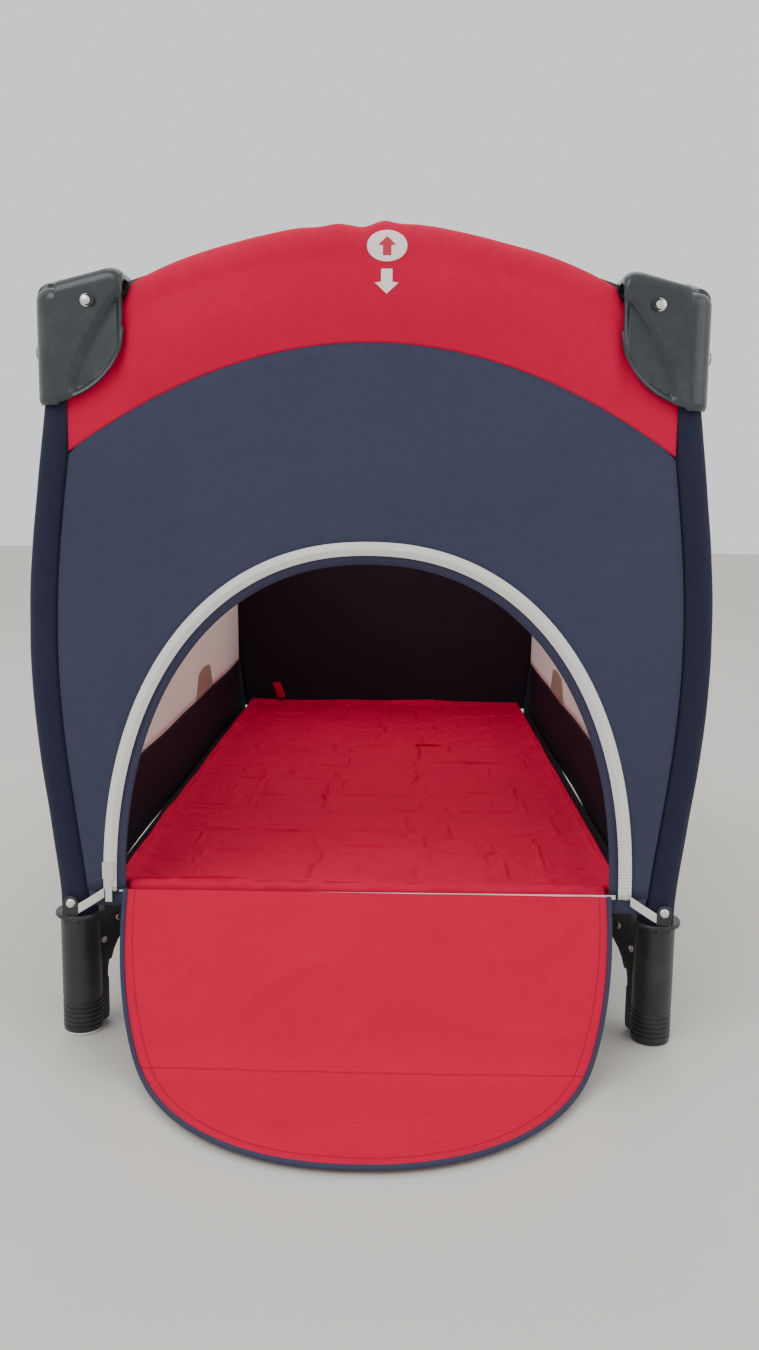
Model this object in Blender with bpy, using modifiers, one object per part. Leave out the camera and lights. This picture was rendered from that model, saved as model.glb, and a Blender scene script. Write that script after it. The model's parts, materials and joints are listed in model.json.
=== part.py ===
"""A folding travel cot with domed ends, a zipped door in its front end and mesh windows.

X runs across the cot, Y along it with the door at the negative end, Z up. The origin is on the floor
under the middle foot. Four corner posts stand on plastic legs. A cross of four base struts joins the
legs to a hub, and eight half rails with mid hinges join the caps at the top, so that the whole frame
folds into a bundle. Lengths are in metres.
"""

import math

import bmesh
import bpy
from mathutils import Matrix, Vector

# Frame
POST_X, POST_Y = 0.305, 0.595
DIAGONAL = math.hypot(POST_X, POST_Y)
TOWARDS_CORNER = Vector((POST_X / DIAGONAL, POST_Y / DIAGONAL, 0))
POST_RADIUS, POST_FOOT_Z, POST_STRAIGHT_TO_Z, POST_TOP_Z = 0.0125, 0.05, 0.136, 0.735
BOW, BOW_MIDDLE_Z, BOW_HALF_SPAN, BOW_FULLNESS = 0.031, 0.420, 0.276, 0.65
SLEEVE_RADIUS, SLEEVE_WALL = 0.0185, 0.003
SLEEVE_BOTTOM_Z, SLEEVE_TOP_Z = 0.139, 0.700

# Rails and their hinges
RAIL_RADIUS, RAIL_Z, RAIL_TAIL = 0.010, 0.762, 0.0055
END_RAIL_CROWN = 0.057
RAIL_INSET = 0.030
END_PIN_X, SIDE_PIN_Y = 0.034, 0.0551
PIN_RADIUS, PIN_CLEARANCE = 0.003, 0.0004
HINGE_WIDTH, HINGE_SLOT, HINGE_PAST_PIN = 0.0290, 0.0214, 0.013
HINGE_BELOW, HINGE_ABOVE, HINGE_FLOOR = 0.0175, 0.006, 0.005
HINGE_SLOT_END, HINGE_HOLE_END, HINGE_HOLE_GAP, HINGE_PIN_GAP = 0.1, 0.03, 0.0004, 0.0003
BUTTON_BELOW_PIN, BUTTON_HEIGHT, BUTTON_GAP = 0.026, 0.0135, 0.0005
HINGE_HEAD_RADIUS, HINGE_HEAD_DEPTH, HINGE_HEAD_ROOT = 0.0045, 0.0007, 0.001
BUTTON_HALF_X, BUTTON_HALF_Y = 0.004, 0.008

# Corner caps
CAP_X, CAP_Y, CAP_WING, CAP_ROUND, CAP_WALL = 0.331, 0.622, 0.087, 0.022, 0.003
CAP_TOP_INNER, CAP_TOP_OUTER, CAP_LOW_INNER, CAP_LOW_OUTER = 0.797, 0.774, 0.735, 0.662
CAP_ROOF_X, CAP_ROOF_Y, CAP_LIP = 0.271, 0.562, 0.015
CAP_EDGE_ROUND, CAP_EDGE_MID_IN, CAP_EDGE_MID_DOWN = 0.011, 0.003, 0.0035
CAP_RIVET_Z, RIVET_HEAD_RADIUS, RIVET_HEAD_DEPTH = 0.715, 0.0060, 0.0022
RIVET_OUTSIDE = CAP_WALL / 2 + 0.0003
RIVET_TIP = 0.016
HOLE_REACH = 0.010

# Legs, struts and hub
LEG_RADIUS, LEG_TOP_Z = 0.021, 0.135
FLANGE_RADIUS, FLANGE_DEPTH, FLANGE_ABOVE = 0.026, 0.005, 0.0003
EAR_LOW, EAR_HIGH, EAR_X, EAR_HALF, EAR_TOP_Z = 0.0192, 0.0232, 0.309, 0.0075, 0.157
SOCKET_CLEARANCE, SOCKET_BELOW_POST, SOCKET_TOP_Z = 0.0008, 0.001, 0.3
EAR_LOW_Z = 0.120
WEB_TOP_Z, WEB_NOSE, WEB_STEP, WEB_STEP_Z = 0.128, 0.016, 0.018, 0.100
WEB_ROUND, WEB_ROUND_Z, WEB_ROUND_X, WEB_ROUND_DROP, WEB_LOW_Z = 0.012, 0.094, 0.036, 0.060, 0.034
STRUT_RADIUS, STRUT_Z, STRUT_AT_LEG, STRUT_AT_HUB, STRUT_TAIL = 0.009, 0.115, 0.045, 0.050, 0.008
CLEVIS_WIDTH, CLEVIS_SLOT = 0.026, 0.0192
LEG_SLOT_BEHIND, LEG_SLOT_AHEAD, LEG_SLOT_FLOOR_Z = 0.05, 0.0135, 0.101
HUB_SLOT_BEHIND, HUB_SLOT_END, HUB_SLOT_FLOOR_Z, SLOT_TOP_Z = 0.012, 0.1, 0.05, 0.2
PIN_END_GAP = 0.0005
HUB_RADIUS, HUB_LOW_Z, HUB_TOP_Z, HUB_FOOT_RADIUS = 0.062, 0.098, 0.132, 0.030
HUB_PIN_HALF, HUB_FOOT_TOP_Z = 0.0140, 0.108

# Fabric
CLOTH = 0.003
WALL_OFFSET, SIDE_WALL_OFFSET, WALL_GAP, WINDOW_GAP = 0.018, -0.010, 0.0015, 0.0005
WALL_BOTTOM_Z, WALL_TOP_Z = 0.146, 0.715
WINDOW_HALF_Y, WINDOW_LOW_Z, WINDOW_HIGH_Z = 0.550, 0.250, 0.700
COVER_LOW_Z, COVER_INNER_Z, COVER_HALF_X, COVER_HALF_Y = 0.7165, 0.735, 0.241, 0.530
COVER_ABOVE_RAIL = 0.0225
MATTRESS_HALF_X, MATTRESS_HALF_Y, MATTRESS_LOW_Z, MATTRESS_HIGH_Z = 0.275, 0.578, 0.1375, 0.176
FLOOR_HALF_X, FLOOR_HALF_Y, FLOOR_LOW_Z, FLOOR_HIGH_Z = 0.285, 0.573, 0.1345, 0.1358

# Door
DOOR_Y, DOOR_SILL_Z, ARCH_POWER = -0.612, 0.1625, 2.2
DOOR_HINGE_Y, DOOR_HINGE_Z = -0.6155, 0.164
DOOR_HALF_WIDTH, DOOR_HEIGHT = 0.261, 0.3535
FLAP_HALF_WIDTH, FLAP_LENGTH, FLAP_BEND, FLAP_THICK = 0.257, 0.345, 0.186, 0.0024
FLAP_SLOPE = math.radians(60)
FLAP_GAP, FLAP_TIP_GAP = 0.001, 0.0005
SLIDER_Z, SLIDER_HALF_X, SLIDER_HALF_Z, SLIDER_FACE_Y, SLIDER_BACK_Y = 0.186, 0.006, 0.009, -0.6195, -0.6160
PULL_HALF_X, PULL_LOW, PULL_HIGH, PULL_FACE_Y, PULL_BACK_Y = 0.0035, 0.034, 0.008, -0.6185, -0.6170
TAPE_GAP, TAPE_WIDTH, TAPE_THICK, TAPE_Y = 0.003, 0.014, 0.001, -0.6150

RIGHT, LEFT, BACK, FRONT = 1, -1, 1, -1
CORNERS = {
    "front_left": (LEFT, FRONT),
    "front_right": (RIGHT, FRONT),
    "back_left": (LEFT, BACK),
    "back_right": (RIGHT, BACK),
}

for old in list(bpy.data.objects):
    bpy.data.objects.remove(old)
parts = bpy.data.collections.new("travel_cot")
cutters = bpy.data.collections.new("cutters")
bpy.context.scene.collection.children.link(parts)
bpy.context.scene.collection.children.link(cutters)


def finish(name, colour, roughness, metallic=0.0):
    material = bpy.data.materials.new(name)
    material.use_nodes = True
    shader = material.node_tree.nodes["Principled BSDF"]
    shader.inputs["Base Color"].default_value = (*colour, 1)
    shader.inputs["Roughness"].default_value = roughness
    shader.inputs["Metallic"].default_value = metallic
    return material


BLACK_PLASTIC = finish("black_plastic", (0.012, 0.013, 0.015), 0.35)
STEEL = finish("painted_steel", (0.02, 0.02, 0.022), 0.4)
RIVET = finish("bright_rivet", (0.75, 0.74, 0.72), 0.3, 1.0)
NAVY = finish("navy_cloth", (0.035, 0.04, 0.085), 0.85)
RED = finish("red_cloth", (0.62, 0.02, 0.05), 0.7)
MESH = finish("cream_mesh", (0.72, 0.62, 0.52), 0.8)
TAPE = finish("zip_tape", (0.72, 0.72, 0.68), 0.8)


def guide(mesh):
    """A wire-only object that cuts or joins others and isn't built itself."""
    obj = bpy.data.objects.new("guide", mesh)
    obj.hide_render = True
    obj.display_type = "WIRE"
    cutters.objects.link(obj)
    return obj


def evaluated(obj):
    """The object's mesh in world space, with its modifiers applied and its seams welded."""
    bpy.context.view_layer.update()
    graph = bpy.context.evaluated_depsgraph_get()
    mesh = bpy.data.meshes.new_from_object(obj.evaluated_get(graph))
    mesh.transform(obj.matrix_world)
    work = bmesh.new()
    work.from_mesh(mesh)
    bmesh.ops.remove_doubles(work, verts=work.verts, dist=0.00005)
    work.to_mesh(mesh)
    work.free()
    bpy.data.objects.remove(obj)
    return mesh


def combined(mesh, others, operation):
    """One closed mesh: the first, joined with or cut by each of the others."""
    obj = guide(mesh)
    for other in others:
        step = obj.modifiers.new(operation.lower(), "BOOLEAN")
        step.operation = operation
        step.object = guide(other)
    return evaluated(obj)


def box(low, high, turn=None):
    """A box between two corners, then turned about Z towards a direction in plan."""
    low, high = Vector(low), Vector(high)
    work = bmesh.new()
    place = Matrix.Translation((low + high) / 2) @ Matrix.Diagonal((*(high - low), 1))
    if turn is not None:
        place = turn @ place
    bmesh.ops.create_cube(work, size=1, matrix=place)
    mesh = bpy.data.meshes.new("box")
    work.to_mesh(mesh)
    work.free()
    return mesh


def rod(start, end, radius, sides=10):
    """A solid cylinder between two points."""
    start, end = Vector(start), Vector(end)
    along = end - start
    place = Matrix.Translation((start + end) / 2) @ along.to_track_quat("Z", "Y").to_matrix().to_4x4()
    work = bmesh.new()
    bmesh.ops.create_cone(
        work, cap_ends=True, segments=sides, radius1=radius, radius2=radius,
        depth=along.length, matrix=place,
    )
    mesh = bpy.data.meshes.new("rod")
    work.to_mesh(mesh)
    work.free()
    mesh.shade_smooth()
    mesh.set_sharp_from_angle(angle=math.radians(40))
    return mesh


def tube(points, radius, filled=True):
    """A round bar along points, or an open skin of it if it isn't filled."""
    curve = bpy.data.curves.new("tube", "CURVE")
    curve.dimensions = "3D"
    curve.bevel_depth = radius
    curve.bevel_resolution = 1
    curve.use_fill_caps = filled
    spline = curve.splines.new("POLY")
    spline.points.add(len(points) - 1)
    for knot, point in zip(spline.points, points):
        knot.co = (*point, 1)
    obj = bpy.data.objects.new("tube", curve)
    cutters.objects.link(obj)
    return evaluated(obj)


def plate(outlines, thickness, plane, level):
    """Flat cloth or board from outlines of (across, up) points, lying on X or Y = level."""
    curve = bpy.data.curves.new("plate", "CURVE")
    curve.dimensions = "2D"
    curve.fill_mode = "BOTH"
    curve.extrude = thickness / 2
    for outline in outlines:
        spline = curve.splines.new("POLY")
        spline.points.add(len(outline) - 1)
        spline.use_cyclic_u = True
        for knot, (across, up) in zip(spline.points, outline):
            knot.co = (across, up, 0, 1)
    obj = bpy.data.objects.new("plate", curve)
    upright = Matrix.Rotation(math.radians(90), 4, "X")
    if plane == "X":
        turned = Matrix.Rotation(math.radians(90), 4, "Z") @ upright
        obj.matrix_world = Matrix.Translation((level, 0, 0)) @ turned
    else:
        obj.matrix_world = Matrix.Translation((0, level, 0)) @ upright
    cutters.objects.link(obj)
    return evaluated(obj)


def skin(rows, wall):
    """A shell of even wall from rows of points, with its doubled corners merged."""
    work = bmesh.new()
    grid = [[work.verts.new(point) for point in row] for row in rows]
    for near, far in zip(grid, grid[1:]):
        for a, b, c, d in zip(near, near[1:], far[1:], far):
            work.faces.new((a, b, c, d))
    bmesh.ops.remove_doubles(work, verts=work.verts, dist=0.0001)
    bmesh.ops.recalc_face_normals(work, faces=work.faces)
    mesh = bpy.data.meshes.new("skin")
    work.to_mesh(mesh)
    work.free()
    obj = bpy.data.objects.new("skin", mesh)
    cutters.objects.link(obj)
    solid = obj.modifiers.new("wall", "SOLIDIFY")
    solid.thickness = wall
    solid.offset = 0
    return evaluated(obj)


joints = {}


def joint_empty(name, place):
    """An empty on a joint's axis, which carries the pieces that turn or slide there."""
    empty = bpy.data.objects.new("joint_" + name, None)
    empty.location = place
    parts.objects.link(empty)
    joints[name] = empty


def piece(name, mesh, material, body=None, corner=(1, 1)):
    """One named part. A corner's signs mirror a mesh made for the back right corner."""
    obj = bpy.data.objects.new(name, mesh)
    obj.scale = (corner[0], corner[1], 1)
    if not mesh.materials:
        mesh.materials.append(material)
    parts.objects.link(obj)
    if body is not None:
        bpy.context.view_layer.update()
        obj.parent = joints[body]
        obj.matrix_parent_inverse = joints[body].matrix_world.inverted()
    return obj


def bow(z):
    """How far a post stands outwards at a height."""
    share = (z - BOW_MIDDLE_Z) / BOW_HALF_SPAN
    if abs(share) >= 1:
        return 0.0
    return BOW * ((1 + math.cos(math.pi * share)) / 2) ** BOW_FULLNESS


def steps(start, end, count):
    return [start + (end - start) * i / count for i in range(count + 1)]


def diagonal_point(distance, z):
    """A point on the line from the middle towards the back right corner."""
    point = TOWARDS_CORNER * distance
    return Vector((point.x, point.y, z))


def end_rail_z(x):
    """Height of an end rail's centre line, which rises towards the middle hinge."""
    reach = POST_X - RAIL_INSET
    return RAIL_Z + END_RAIL_CROWN * (1 - (x / reach) ** 2)


def arch(half_width, height, base_z, count=20):
    """The door's outline as (across, up) points from right to left."""
    outline = []
    for angle in steps(0, math.pi, count):
        across = math.copysign(abs(math.cos(angle)) ** (2 / ARCH_POWER), math.cos(angle))
        up = math.sin(angle) ** (2 / ARCH_POWER) if 0 < angle < math.pi else 0.0
        outline.append((half_width * across, base_z + height * up))
    return outline


ALONG_DIAGONAL = Matrix.Rotation(math.atan2(POST_Y, POST_X), 4, "Z")
ACROSS_DIAGONAL = Vector((-TOWARDS_CORNER.y, TOWARDS_CORNER.x, 0))
LEG_PIVOT = diagonal_point(DIAGONAL - STRUT_AT_LEG, STRUT_Z)
HUB_PIVOT = diagonal_point(STRUT_AT_HUB, STRUT_Z)
HOLE_RADIUS = PIN_RADIUS + PIN_CLEARANCE


def across_pin(centre, half_length, radius):
    """A pin or a hole across the diagonal, through a strut and its clevis."""
    return rod(centre - ACROSS_DIAGONAL * half_length, centre + ACROSS_DIAGONAL * half_length, radius)


def post_mesh():
    """Bowed steel tube, riveted through the cap's side."""
    heights = [POST_FOOT_Z] + steps(POST_STRAIGHT_TO_Z, POST_TOP_Z, 12)
    points = [(POST_X + bow(z), POST_Y, z) for z in heights]
    cap_rivet = rivet((CAP_X + RIVET_OUTSIDE, POST_Y, CAP_RIVET_Z), (POST_X, POST_Y, CAP_RIVET_Z))
    return combined(tube(points, POST_RADIUS), [cap_rivet], "UNION")


def sleeve_mesh():
    """Padded cloth sleeve round a post."""
    points = [(POST_X + bow(z), POST_Y, z) for z in steps(SLEEVE_BOTTOM_Z, SLEEVE_TOP_Z, 9)]
    open_skin = tube(points, SLEEVE_RADIUS - SLEEVE_WALL / 2, filled=False)
    obj = bpy.data.objects.new("sleeve", open_skin)
    cutters.objects.link(obj)
    solid = obj.modifiers.new("wall", "SOLIDIFY")
    solid.thickness = SLEEVE_WALL
    solid.offset = 0
    return evaluated(obj)


def cap_mesh():
    """Moulded corner shell: two shield-shaped wings round the corner, with a roof over the rails."""
    straight = CAP_WING - CAP_ROUND
    columns = [(CAP_X - CAP_WING + t, CAP_Y, t, (0, -1)) for t in steps(0, straight, 3)]
    for angle in steps(math.radians(90), 0, 4)[1:-1]:
        x = CAP_X - CAP_ROUND + CAP_ROUND * math.cos(angle)
        y = CAP_Y - CAP_ROUND + CAP_ROUND * math.sin(angle)
        columns.append((x, y, CAP_WING, (-math.cos(angle), -math.sin(angle))))
    columns += [(CAP_X, CAP_Y - CAP_WING + t, t, (-1, 0)) for t in steps(straight, 0, 3)]
    rows = []
    for x, y, reach, (nx, ny) in columns:
        share = reach / CAP_WING
        low = CAP_LOW_OUTER + (CAP_LOW_INNER - CAP_LOW_OUTER) * (1 - math.sqrt(1 - (1 - share) ** 2))
        top = CAP_TOP_INNER + (CAP_TOP_OUTER - CAP_TOP_INNER) * share
        roof_x, roof_y = min(x, CAP_ROOF_X), min(y, CAP_ROOF_Y)
        roof_reach = min(reach, CAP_ROOF_X - CAP_X + CAP_WING)
        roof = CAP_TOP_INNER + (CAP_TOP_OUTER - CAP_TOP_INNER) * roof_reach / CAP_WING
        rows.append([
            (x, y, low),
            (x, y, (low + top) / 2),
            (x, y, top - CAP_EDGE_ROUND),
            (x + nx * CAP_EDGE_MID_IN, y + ny * CAP_EDGE_MID_IN, top - CAP_EDGE_MID_DOWN),
            (x + nx * CAP_EDGE_ROUND, y + ny * CAP_EDGE_ROUND, top),
            (roof_x, roof_y, roof),
            (roof_x, roof_y, roof - CAP_LIP),
        ])
    end_hole = Vector((POST_X - RAIL_INSET, CAP_Y, RAIL_Z))
    side_hole = Vector((CAP_X, POST_Y - RAIL_INSET, RAIL_Z))
    post_hole = Vector((CAP_X, POST_Y, CAP_RIVET_Z))
    through_end, through_side = Vector((0, HOLE_REACH, 0)), Vector((HOLE_REACH, 0, 0))
    holes = [
        rod(end_hole - through_end, end_hole + through_end, HOLE_RADIUS),
        rod(side_hole - through_side, side_hole + through_side, HOLE_RADIUS),
        rod(post_hole - through_side, post_hole + through_side, HOLE_RADIUS),
    ]
    return combined(skin(rows, CAP_WALL), holes, "DIFFERENCE")


def rivet(head, tip):
    """A rivet with a domed head outside the wall it closes."""
    head, tip = Vector(head), Vector(tip)
    outward = (head - tip).normalized()
    shank = rod(tip, head + outward * RIVET_HEAD_DEPTH / 2, PIN_RADIUS)
    dome = rod(head, head + outward * RIVET_HEAD_DEPTH, RIVET_HEAD_RADIUS)
    return combined(shank, [dome], "UNION")


def leg_mesh():
    """Round plastic leg with a clevis web for the base strut, a flange and an ear beside the post."""
    centre = Vector((POST_X, POST_Y, 0))
    barrel = rod(centre, centre + Vector((0, 0, LEG_TOP_Z)), LEG_RADIUS, 16)
    flange_low = centre + Vector((0, 0, LEG_TOP_Z - FLANGE_DEPTH))
    flange = rod(flange_low, centre + Vector((0, 0, LEG_TOP_Z + FLANGE_ABOVE)), FLANGE_RADIUS, 16)
    reach = DIAGONAL - STRUT_AT_LEG
    web_outline = [(DIAGONAL, WEB_TOP_Z), (reach - WEB_NOSE, WEB_TOP_Z), (reach - WEB_STEP, WEB_STEP_Z)]
    for angle in steps(0, math.pi / 2, 6):
        along = reach - WEB_ROUND + WEB_ROUND_X * math.sin(angle)
        web_outline.append((along, WEB_ROUND_Z - WEB_ROUND_DROP * (1 - math.cos(angle))))
    web_outline.append((DIAGONAL, WEB_LOW_Z))
    work = bpy.data.curves.new("web", "CURVE")
    work.dimensions = "2D"
    work.fill_mode = "BOTH"
    work.extrude = CLEVIS_WIDTH / 2
    spline = work.splines.new("POLY")
    spline.points.add(len(web_outline) - 1)
    spline.use_cyclic_u = True
    for knot, (along, up) in zip(spline.points, web_outline):
        knot.co = (along, up, 0, 1)
    web_object = bpy.data.objects.new("web", work)
    web_object.matrix_world = ALONG_DIAGONAL @ Matrix.Rotation(math.radians(90), 4, "X")
    cutters.objects.link(web_object)
    web = evaluated(web_object)
    ear_low = (EAR_X - EAR_HALF, POST_Y + EAR_LOW, EAR_LOW_Z)
    ear = box(ear_low, (EAR_X + EAR_HALF, POST_Y + EAR_HIGH, EAR_TOP_Z))
    slot_low = (reach - LEG_SLOT_BEHIND, -CLEVIS_SLOT / 2, LEG_SLOT_FLOOR_Z)
    slot = box(slot_low, (reach + LEG_SLOT_AHEAD, CLEVIS_SLOT / 2, SLOT_TOP_Z), ALONG_DIAGONAL)
    socket_foot = centre + Vector((0, 0, POST_FOOT_Z - SOCKET_BELOW_POST))
    socket = rod(socket_foot, centre + Vector((0, 0, SOCKET_TOP_Z)), POST_RADIUS + SOCKET_CLEARANCE, 16)
    pin_hole = across_pin(LEG_PIVOT, CLEVIS_WIDTH, HOLE_RADIUS)
    joined = combined(barrel, [flange, web, ear], "UNION")
    return combined(joined, [slot, socket, pin_hole], "DIFFERENCE")


def strut_mesh():
    """Straight base tube with a pin fixed through each end."""
    start = diagonal_point(STRUT_AT_HUB - STRUT_TAIL, STRUT_Z)
    end = diagonal_point(DIAGONAL - STRUT_AT_LEG + STRUT_TAIL, STRUT_Z)
    pins = [
        across_pin(LEG_PIVOT, CLEVIS_WIDTH / 2 - PIN_END_GAP, PIN_RADIUS),
        across_pin(HUB_PIVOT, HUB_PIN_HALF, PIN_RADIUS),
    ]
    return combined(rod(start, end, STRUT_RADIUS, 12), pins, "UNION")


def mirrored(mesh, corner):
    """A copy of a back right mesh, moved to another corner with its faces still outwards."""
    copy = mesh.copy()
    copy.transform(Matrix.Diagonal((corner[0], corner[1], 1, 1)))
    if corner[0] * corner[1] < 0:
        copy.flip_normals()
    return copy


def hub_mesh():
    """Round hub with four clevis slots, on its own foot."""
    body = rod((0, 0, HUB_LOW_Z), (0, 0, HUB_TOP_Z), HUB_RADIUS, 24)
    foot = rod((0, 0, 0), (0, 0, HUB_FOOT_TOP_Z), HUB_FOOT_RADIUS, 16)
    slot_low = (STRUT_AT_HUB - HUB_SLOT_BEHIND, -CLEVIS_SLOT / 2, HUB_SLOT_FLOOR_Z)
    slot = box(slot_low, (HUB_SLOT_END, CLEVIS_SLOT / 2, SLOT_TOP_Z), ALONG_DIAGONAL)
    hole = across_pin(HUB_PIVOT, HUB_PIN_HALF + PIN_END_GAP, HOLE_RADIUS)
    cuts = [mirrored(cut, corner) for cut in (slot, hole) for corner in CORNERS.values()]
    return combined(combined(body, [foot], "UNION"), cuts, "DIFFERENCE")


def end_rail_mesh(with_hinge_pin):
    """Arched half rail of an end, with a rivet through the cap and perhaps a pin at the inner end."""
    outer = POST_X - RAIL_INSET
    points = [(x, POST_Y, end_rail_z(x)) for x in steps(outer + RAIL_TAIL, END_PIN_X - RAIL_TAIL, 6)]
    pin_z = end_rail_z(END_PIN_X)
    fixings = [rivet((outer, CAP_Y + RIVET_OUTSIDE, RAIL_Z), (outer, POST_Y - RIVET_TIP, RAIL_Z))]
    if with_hinge_pin:
        half = HINGE_WIDTH / 2 - HINGE_PIN_GAP
        fixings.append(rod((END_PIN_X, POST_Y - half, pin_z), (END_PIN_X, POST_Y + half, pin_z), PIN_RADIUS))
    return combined(tube(points, RAIL_RADIUS), fixings, "UNION")


def side_rail_mesh():
    """Straight half rail of a long side, pinned in the same two ways."""
    outer = POST_Y - RAIL_INSET
    bar = tube([(POST_X, outer + RAIL_TAIL, RAIL_Z), (POST_X, SIDE_PIN_Y - RAIL_TAIL, RAIL_Z)], RAIL_RADIUS)
    cap_rivet = rivet((CAP_X + RIVET_OUTSIDE, outer, RAIL_Z), (POST_X - RIVET_TIP, outer, RAIL_Z))
    half = HINGE_WIDTH / 2 - HINGE_PIN_GAP
    pin = rod((POST_X - half, SIDE_PIN_Y, RAIL_Z), (POST_X + half, SIDE_PIN_Y, RAIL_Z), PIN_RADIUS)
    return combined(bar, [cap_rivet, pin], "UNION")


def hinge_mesh(pin_distance, pin_z, open_side=False):
    """Channel-shaped mid hinge, open above, lying along X about the origin.

    With an open side, its right pin has heads outside the cheeks and none between them, because the
    right rail slides in the channel while the arched rails fold.
    """
    reach, half = pin_distance + HINGE_PAST_PIN, HINGE_WIDTH / 2
    body = box((-reach, -half, pin_z - HINGE_BELOW), (reach, half, pin_z + HINGE_ABOVE))
    slot_low = (-HINGE_SLOT_END, -HINGE_SLOT / 2, pin_z - HINGE_BELOW + HINGE_FLOOR)
    slot = box(slot_low, (HINGE_SLOT_END, HINGE_SLOT / 2, pin_z + HINGE_BELOW))
    well_x, well_y = BUTTON_HALF_X + BUTTON_GAP, BUTTON_HALF_Y + BUTTON_GAP
    well = box((-well_x, -well_y, pin_z - 2 * HINGE_BELOW), (well_x, well_y, pin_z))
    if open_side:
        heads = [
            rod((pin_distance, side * (half - HINGE_HEAD_ROOT), pin_z),
                (pin_distance, side * (half + HINGE_HEAD_DEPTH), pin_z), HINGE_HEAD_RADIUS)
            for side in (FRONT, BACK)
        ]
        body = combined(body, heads, "UNION")
    holes = []
    for side in (LEFT,) if open_side else (LEFT, RIGHT):
        front_end = (side * pin_distance, -HINGE_HOLE_END, pin_z)
        back_end = (side * pin_distance, HINGE_HOLE_END, pin_z)
        holes.append(rod(front_end, back_end, HOLE_RADIUS + HINGE_HOLE_GAP))
    return combined(body, [slot, well, *holes], "DIFFERENCE")


def button_mesh(pin_z):
    low = pin_z - BUTTON_BELOW_PIN
    return box((-BUTTON_HALF_X, -BUTTON_HALF_Y, low), (BUTTON_HALF_X, BUTTON_HALF_Y, low + BUTTON_HEIGHT))


def end_wall_mesh(level, with_door):
    """Flat end wall whose sides follow the bowed posts."""
    edge = POST_X - SLEEVE_RADIUS - WALL_GAP
    heights = steps(WALL_BOTTOM_Z, WALL_TOP_Z, 8)
    outline = [(edge + bow(z), z) for z in heights] + [(-edge - bow(z), z) for z in reversed(heights)]
    outlines = [outline]
    if with_door:
        outlines.append(arch(DOOR_HALF_WIDTH, DOOR_HEIGHT, DOOR_SILL_Z))
    return plate(outlines, CLOTH, "Y", level)


def rectangle(low, high):
    return [(low[0], low[1]), (high[0], low[1]), (high[0], high[1]), (low[0], high[1])]


def cover_mesh(half_length, crown, along_x):
    """Padded cover hung over a rail: an outer leg, a round back over the rail and a short inner leg."""
    offset = WALL_OFFSET
    rows = []
    for along in steps(-half_length, half_length, 8):
        lift = crown(along)
        rail = RAIL_Z + lift
        section = [(offset, COVER_LOW_Z), (offset, (COVER_LOW_Z + rail) / 2)]
        rise = COVER_ABOVE_RAIL
        section += [(offset * math.cos(a), rail + rise * math.sin(a)) for a in steps(0, math.pi, 6)]
        section += [(-offset, COVER_INNER_Z + lift)]
        if along_x:
            rows.append([(along, POST_Y + out, up) for out, up in section])
        else:
            rows.append([(POST_X + out, along, up) for out, up in section])
    return skin(rows, CLOTH)


def door_tape_mesh():
    inner = arch(DOOR_HALF_WIDTH + TAPE_GAP, DOOR_HEIGHT + TAPE_GAP, DOOR_SILL_Z)
    outer = arch(DOOR_HALF_WIDTH + TAPE_GAP + TAPE_WIDTH, DOOR_HEIGHT + TAPE_GAP + TAPE_WIDTH, DOOR_SILL_Z)
    return plate([outer + inner[::-1]], TAPE_THICK, "Y", TAPE_Y)


def flap_half_width(distance):
    return FLAP_HALF_WIDTH * (1 - (distance / FLAP_LENGTH) ** ARCH_POWER) ** (1 / ARCH_POWER)


def flap_mesh(start, end, hinge, slope):
    """Part of the door flap between two distances from its hinge, sloping down from a point."""
    distances = steps(start, end, 6)
    outline = [(flap_half_width(d), -d) for d in distances]
    outline += [(-flap_half_width(d), -d) for d in reversed(distances)]
    mesh = plate([outline], FLAP_THICK, "Y", 0)
    mesh.transform(Matrix.Translation(hinge) @ Matrix.Rotation(slope - math.radians(90), 4, "X"))
    return mesh


# Corners: caps, posts, legs and sleeves. The front left corner carries the rest.
corner_meshes = {
    "cap": (cap_mesh(), BLACK_PLASTIC),
    "post": (post_mesh(), STEEL),
    "post_sleeve": (sleeve_mesh(), NAVY),
    "leg": (leg_mesh(), BLACK_PLASTIC),
}
strut = strut_mesh()
end_rails = {LEFT: end_rail_mesh(True), RIGHT: end_rail_mesh(False)}
side_rail = side_rail_mesh()
for corner_name, corner in CORNERS.items():
    signs = Vector((corner[0], corner[1], 1))
    joint_empty("strut_" + corner_name, (HUB_PIVOT if corner_name != "front_left" else LEG_PIVOT) * signs)
    joint_empty("corner_" + corner_name, LEG_PIVOT * signs)
    joint_empty("end_rail_" + corner_name, Vector((POST_X - RAIL_INSET, POST_Y, RAIL_Z)) * signs)
    joint_empty("side_rail_" + corner_name, Vector((POST_X, POST_Y - RAIL_INSET, RAIL_Z)) * signs)
    for kind, (mesh, material) in corner_meshes.items():
        piece(kind + "_" + corner_name, mesh, material, "corner_" + corner_name, corner)
    piece("base_strut_" + corner_name, strut, STEEL, "strut_" + corner_name, corner)
    piece("end_rail_" + corner_name, end_rails[corner[0]], STEEL, "end_rail_" + corner_name, corner)
    piece("side_rail_" + corner_name, side_rail, STEEL, "side_rail_" + corner_name, corner)

# Hub
joint_empty("hub", HUB_PIVOT * Vector((LEFT, FRONT, 1)))
piece("hub", hub_mesh(), BLACK_PLASTIC, "hub")

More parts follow.
